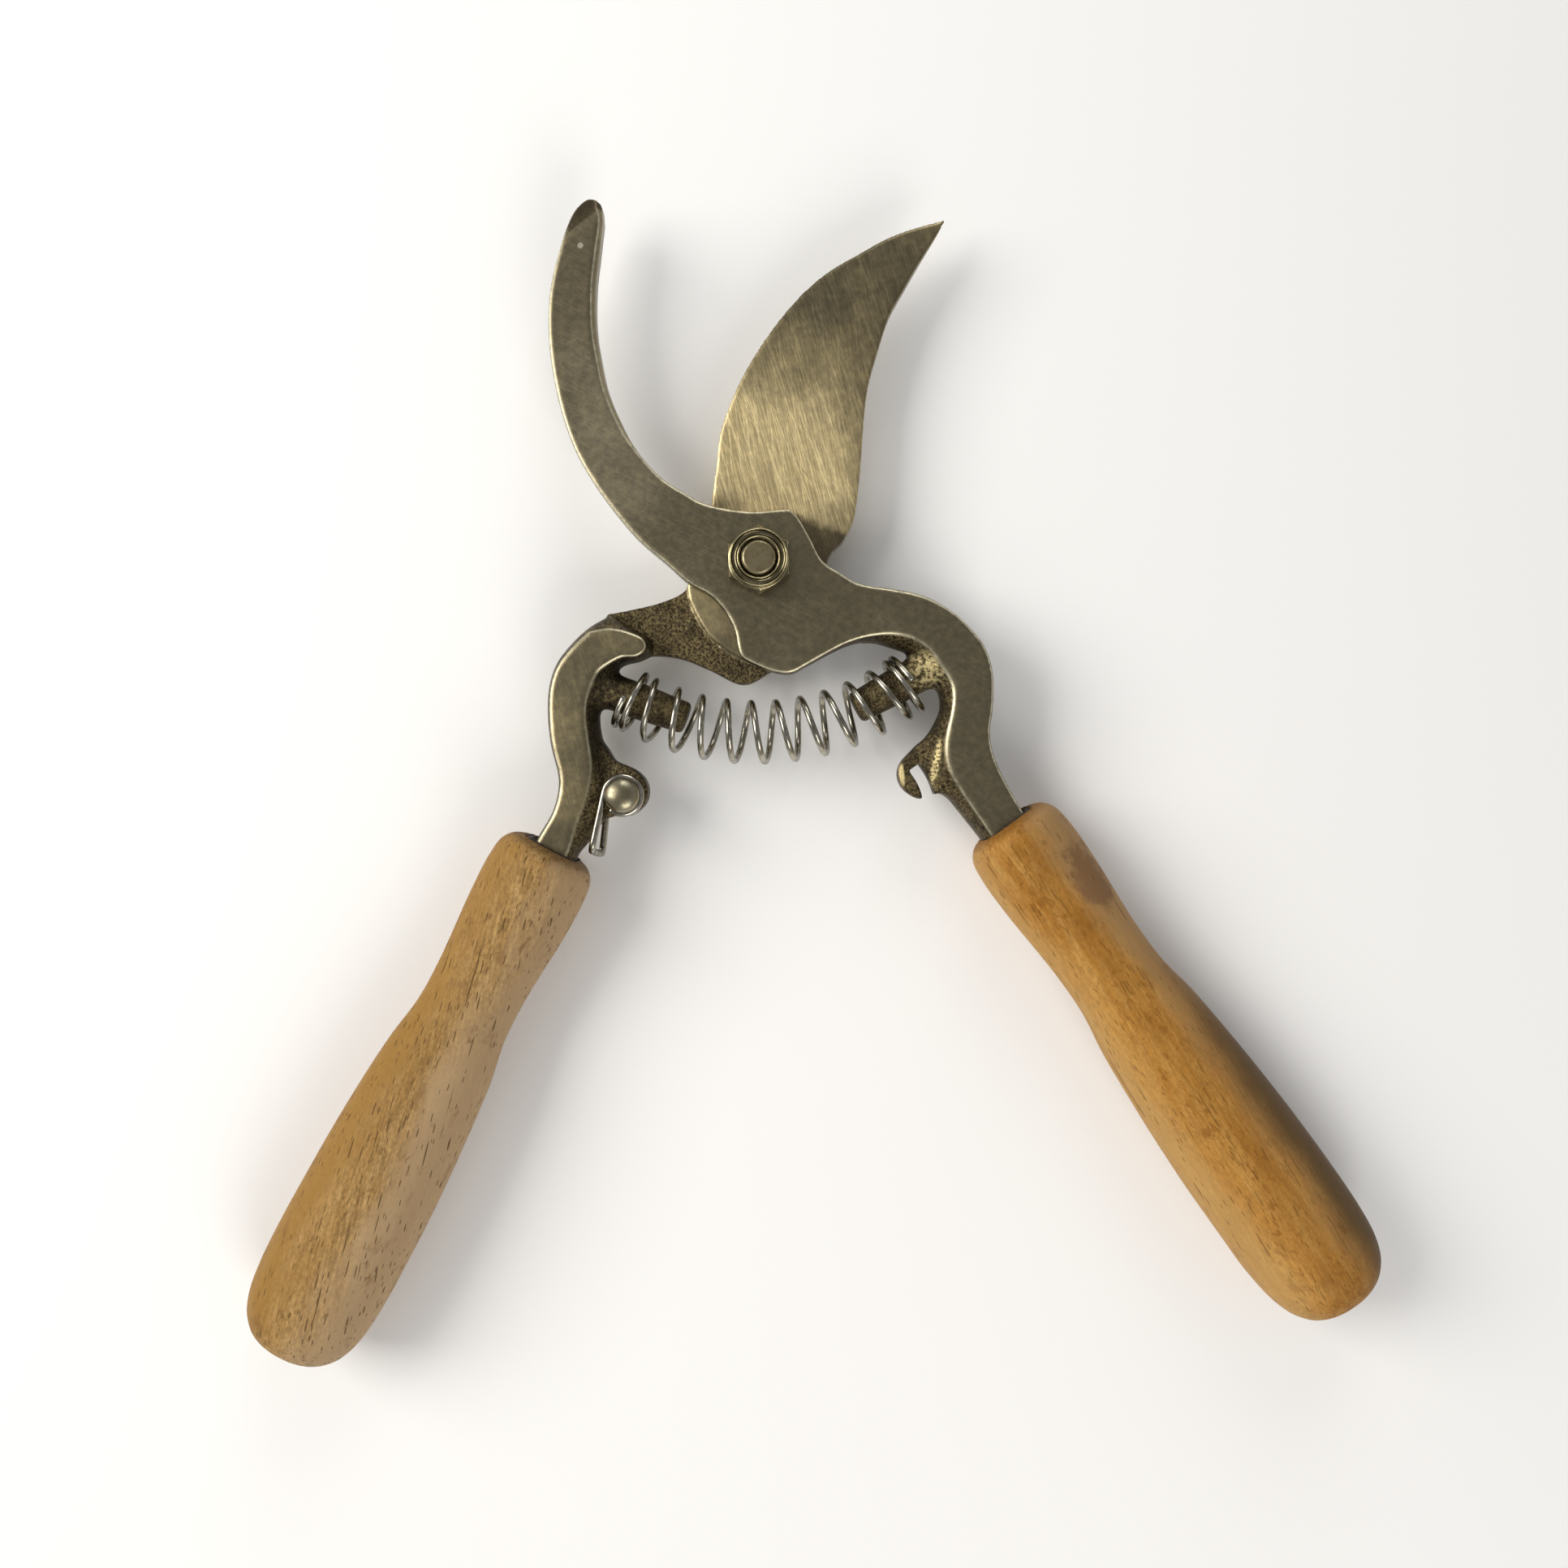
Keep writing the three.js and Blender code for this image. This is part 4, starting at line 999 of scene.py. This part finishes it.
def knot_stain(look, colour, local):
    """A purple-brown stain beside the mouth, amber freckles down the handle, and painted light and shade
    across it.
    """
    freckles = look.noise(local((0.8, 2.0, 0.8), slope=6), 2, 0.5)
    zone = look.range(look.step(look.noise(local((5, 13, 5)), 3), 0.42, 0.6), 0.12, -0.03)
    spots = look.step(look.maths("SUBTRACT", freckles, zone), 0.55, 0.66)
    colour = look.mix(look.times(spots, 0.6), colour, srgb(128, 80, 24))
    # painted light and shade across the handle: paler on the left edge, darker over the middle and right
    # half, and a painted shade down the right flank that deepens low on the handle
    waver = look.range(look.noise(local((6, 20, 6)), 4), -3, 3)
    left = look.maths("ADD", look.axis(local(1), "X"), waver)
    lower = look.step(look.axis(local(1), "Y"), 24, 56)
    for start, end, strength, tone in (
        (6, 0, 0.4, srgb(138, 94, 36)),
        (3.5, 9, 0.6, srgb(188, 152, 96)),
        (-0.5, -5, look.range(lower, 0.75, 0.3), srgb(164, 132, 90)),
        (-2.5, -9, look.range(lower, 0.0, 0.88), srgb(84, 66, 42)),
    ):
        colour = look.mix(look.times(look.step(left, start, end), strength), colour, tone)
    ragged = look.range(look.noise(local((2.2, 4, 2.2)), 6, 0.75), -1.1, 1.1)
    stain = look.maths("ADD", look.length(local((3.4, 7.2, 9), (-5.6, 14.5, 5))), ragged)
    return look.mix(look.times(look.step(stain, 1.1, 0.55), 0.8), colour, srgb(120, 88, 60))


def resin():
    look = Look("tang_resin")
    lumpy = look.noise(look.place(0.8), 4, 0.6)
    colour = look.mix(look.step(lumpy, 0.4, 0.7), srgb(30, 22, 14), srgb(70, 50, 32))
    return look.finish(colour, look.range(lumpy, 0.6, 0.85), look.relief(lumpy, 0.12))


def nylon():
    look = Look("insert_nylon")
    haze = look.noise(look.place(0.5), 3, 0.6)
    colour = look.mix(look.step(haze, 0.4, 0.7), srgb(92, 82, 58), srgb(138, 125, 92))
    return look.finish(colour, look.range(haze, 0.35, 0.55), look.relief(haze, 0.03))


HOOK_TONES = (srgb(132, 123, 99), srgb(152, 142, 116), srgb(176, 165, 137))
BLADE_TONES = (srgb(132, 122, 96), srgb(172, 157, 119), srgb(226, 206, 156))
CAST_DARK = srgb(46, 40, 30)
CAST_LIGHT = srgb(130, 115, 82)
CAST_SCALE_AND_SHADE = srgb(40, 36, 29)
# pale brass for painted highlights on the hook's cast metal
BRASS_HIGHLIGHT = srgb(222, 204, 150)
# colour of the painted highlights on rounded edges
EDGE_SHINE = srgb(236, 228, 196)
WORN_FROM = -1.0  # millimetres from the handle's axis
# each wood's dark, middle and light tone, and its pores
PALE_WOOD = (srgb(154, 119, 70), srgb(169, 134, 84), srgb(184, 150, 100), srgb(80, 56, 28))
GOLDEN_WOOD = (srgb(164, 112, 46), srgb(182, 130, 60), srgb(196, 150, 82), srgb(112, 72, 26))
# for each kind of pore: the spacing across, along and into the wood in millimetres, the least and the
# greatest half-width as a share of that spacing, and how dark it is
PORES = (
    ((0.46, 6.5, 1.0), -0.42, 0.29, 0.6),
    ((0.5, 24.0, 1.3), -0.24, 0.27, 0.65),
    ((0.38, 2.8, 0.8), -0.4, 0.31, 0.5),
)
# for each set of scratches: its turn from the blade's own direction, its grain, how sparse and how strong
SCRATCHES = (
    (0, (0.16, 9, 0.6), 0.44, 0.5),
    (7, (0.2, 16, 0.6), 0.56, 0.75),
    (-9, (0.2, 14, 0.6), 0.58, 0.6),
    (24, (0.2, 11, 0.6), 0.62, 0.5),
)
GRUBBY = (0.72, 0.66, 0.6, 1)


# ---- Putting it together ----


def build_side(body, pieces):
    for name, (vertices, faces), node, slot, material in pieces:
        make_piece(name, vertices, faces, node, body, material)


def build_hook_side(zinc, bronze):
    steel = forged_steel("hook_steel", hook_ground, HOOK_TONES, 60, 0.12, hook_painted_sheen, hook_marks)
    golden = wood("golden_wood", HOOK_HANDLE, -4, GOLDEN_WOOD, 0.75, knot_stain)
    plain_washer = washer((0, 0), PIVOT_BORE, BOLT_WASHER)
    locking_ring = washer((0, 0), PIVOT_BORE + 0.02, LOCKING_RING)
    pieces = (
        ("hook_arm_forging", hook_arm(), "hook_arm", "forged_steel", steel),
        ("hook_grip", handle(HOOK_HANDLE, 3), "hook_handle", "golden_wood", golden),
        ("hook_seal", resin_ring(HOOK_HANDLE, 5), "hook_tang_resin", "resin", resin()),
        ("hinge_bolt", bolt(), "pivot_bolt", "fastener_steel", bronze),
        ("lock_nut", nut(), "pivot_nut", "fastener_steel", nut_plate()),
        ("plain_washer", plain_washer, "bolt_washer", "fastener_steel", zinc),
        ("locking_ring", locking_ring, "nut_insert", "nylon", nylon()),
    )
    build_side("hook_side", pieces)


def build_blade_side(zinc, bright):
    steel = forged_steel("blade_steel", blade_ground, BLADE_TONES, 13, 0.9, blade_painted_sheen, blade_marks)
    pale = wood("pale_wood", BLADE_HANDLE, 13, PALE_WOOD, 1.25, worn_side)
    small_washer = washer(RIVET, RIVET_BORE, RIVET_WASHER)
    pieces = (
        ("blade_forging", blade_arm(), "blade_arm", "blade_steel", steel),
        ("blade_grip", handle(BLADE_HANDLE, 8), "blade_handle", "pale_wood", pale),
        ("blade_seal", resin_ring(BLADE_HANDLE, 11), "blade_tang_resin", "resin", resin()),
        ("domed_rivet", rivet(), "latch_rivet", "rivet_steel", bright),
        ("small_washer", small_washer, "rivet_washer", "fastener_steel", zinc),
    )
    build_side("blade_side", pieces)


def build_wires(wire):
    sides = 14
    vertices, faces, _ = tube(bail_path(), LATCH_WIRE, sides)
    make_piece("latch_wire", vertices, faces, "latch_bail", "latch", wire)
    path, shares = spring_path()
    vertices, faces, stations = tube(path, SPRING_WIRE, sides)
    spring = make_piece("coil_spring", vertices, faces, "return_spring", None, wire)
    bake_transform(spring)


def build_stage():
    size = 1.6
    corners = [(-size, -size), (size, -size), (size, size), (-size, size)]
    mesh = bpy.data.meshes.new("floor")
    mesh.from_pydata([(x, y, -0.0003) for x, y in corners], [], [(0, 1, 2, 3)])
    mesh.materials.append(Look("floor_paint").finish(srgb(246, 245, 243), 0.7))
    add_object("floor", mesh)

    world = bpy.data.worlds.new("studio")
    world.use_nodes = True
    light = world.node_tree.nodes["Background"].inputs
    light["Color"].default_value = (0.99, 0.99, 1.0, 1)
    light["Strength"].default_value = 0.32
    bpy.context.scene.world = world
    bpy.context.scene.view_settings.view_transform = "Standard"

    for name, place, size, energy, colour in (
        ("key", (-0.6, 0.12, 0.5), 0.5, 5.2, (1.0, 0.98, 0.94)),
        ("fill", (0.2, -0.6, 0.5), 0.4, 2.0, (1.0, 0.98, 0.95)),
        ("rim", (0.1, 0.7, 0.4), 0.4, 1.4, (1.0, 1.0, 1.0)),
    ):
        lamp = bpy.data.lights.new(name, "AREA")
        lamp.size = size
        lamp.energy = energy
        lamp.color = colour
        lamp_object = add_object(name, lamp)
        lamp_object.location = place
        aim = np.array([0.0, -0.02, 0.0]) - np.array(place)
        flat = math.hypot(aim[0], aim[1])
        lamp_object.rotation_euler = (math.atan2(flat, -aim[2]), 0, math.atan2(-aim[0], aim[1]))


def build_camera():
    """Straight above the open tool, looking down, with the jaws to the top of the picture."""
    camera = bpy.data.cameras.new("camera")
    camera.sensor_width = 36
    camera.lens = 35
    camera_object = add_object("camera", camera)
    camera_object.location = (0.00417, -0.0371, 0.2694)
    bpy.context.scene.camera = camera_object


zinc = plain_metal("zinc_plate", srgb(164, 154, 124), srgb(134, 125, 98), 0.22, 0.6)
bronze = plain_metal("bolt_steel", srgb(160, 148, 116), srgb(120, 108, 82), 0.34, 0.7)
bright = plain_metal("polished_steel", srgb(146, 138, 114), srgb(116, 108, 86), 0.32, 1.4)
wire = plain_metal("spring_wire", srgb(168, 164, 154), srgb(122, 118, 108), 0.2, 0.6)
build_hook_side(zinc, bronze)
build_blade_side(zinc, bright)
build_wires(wire)
build_stage()
build_camera()
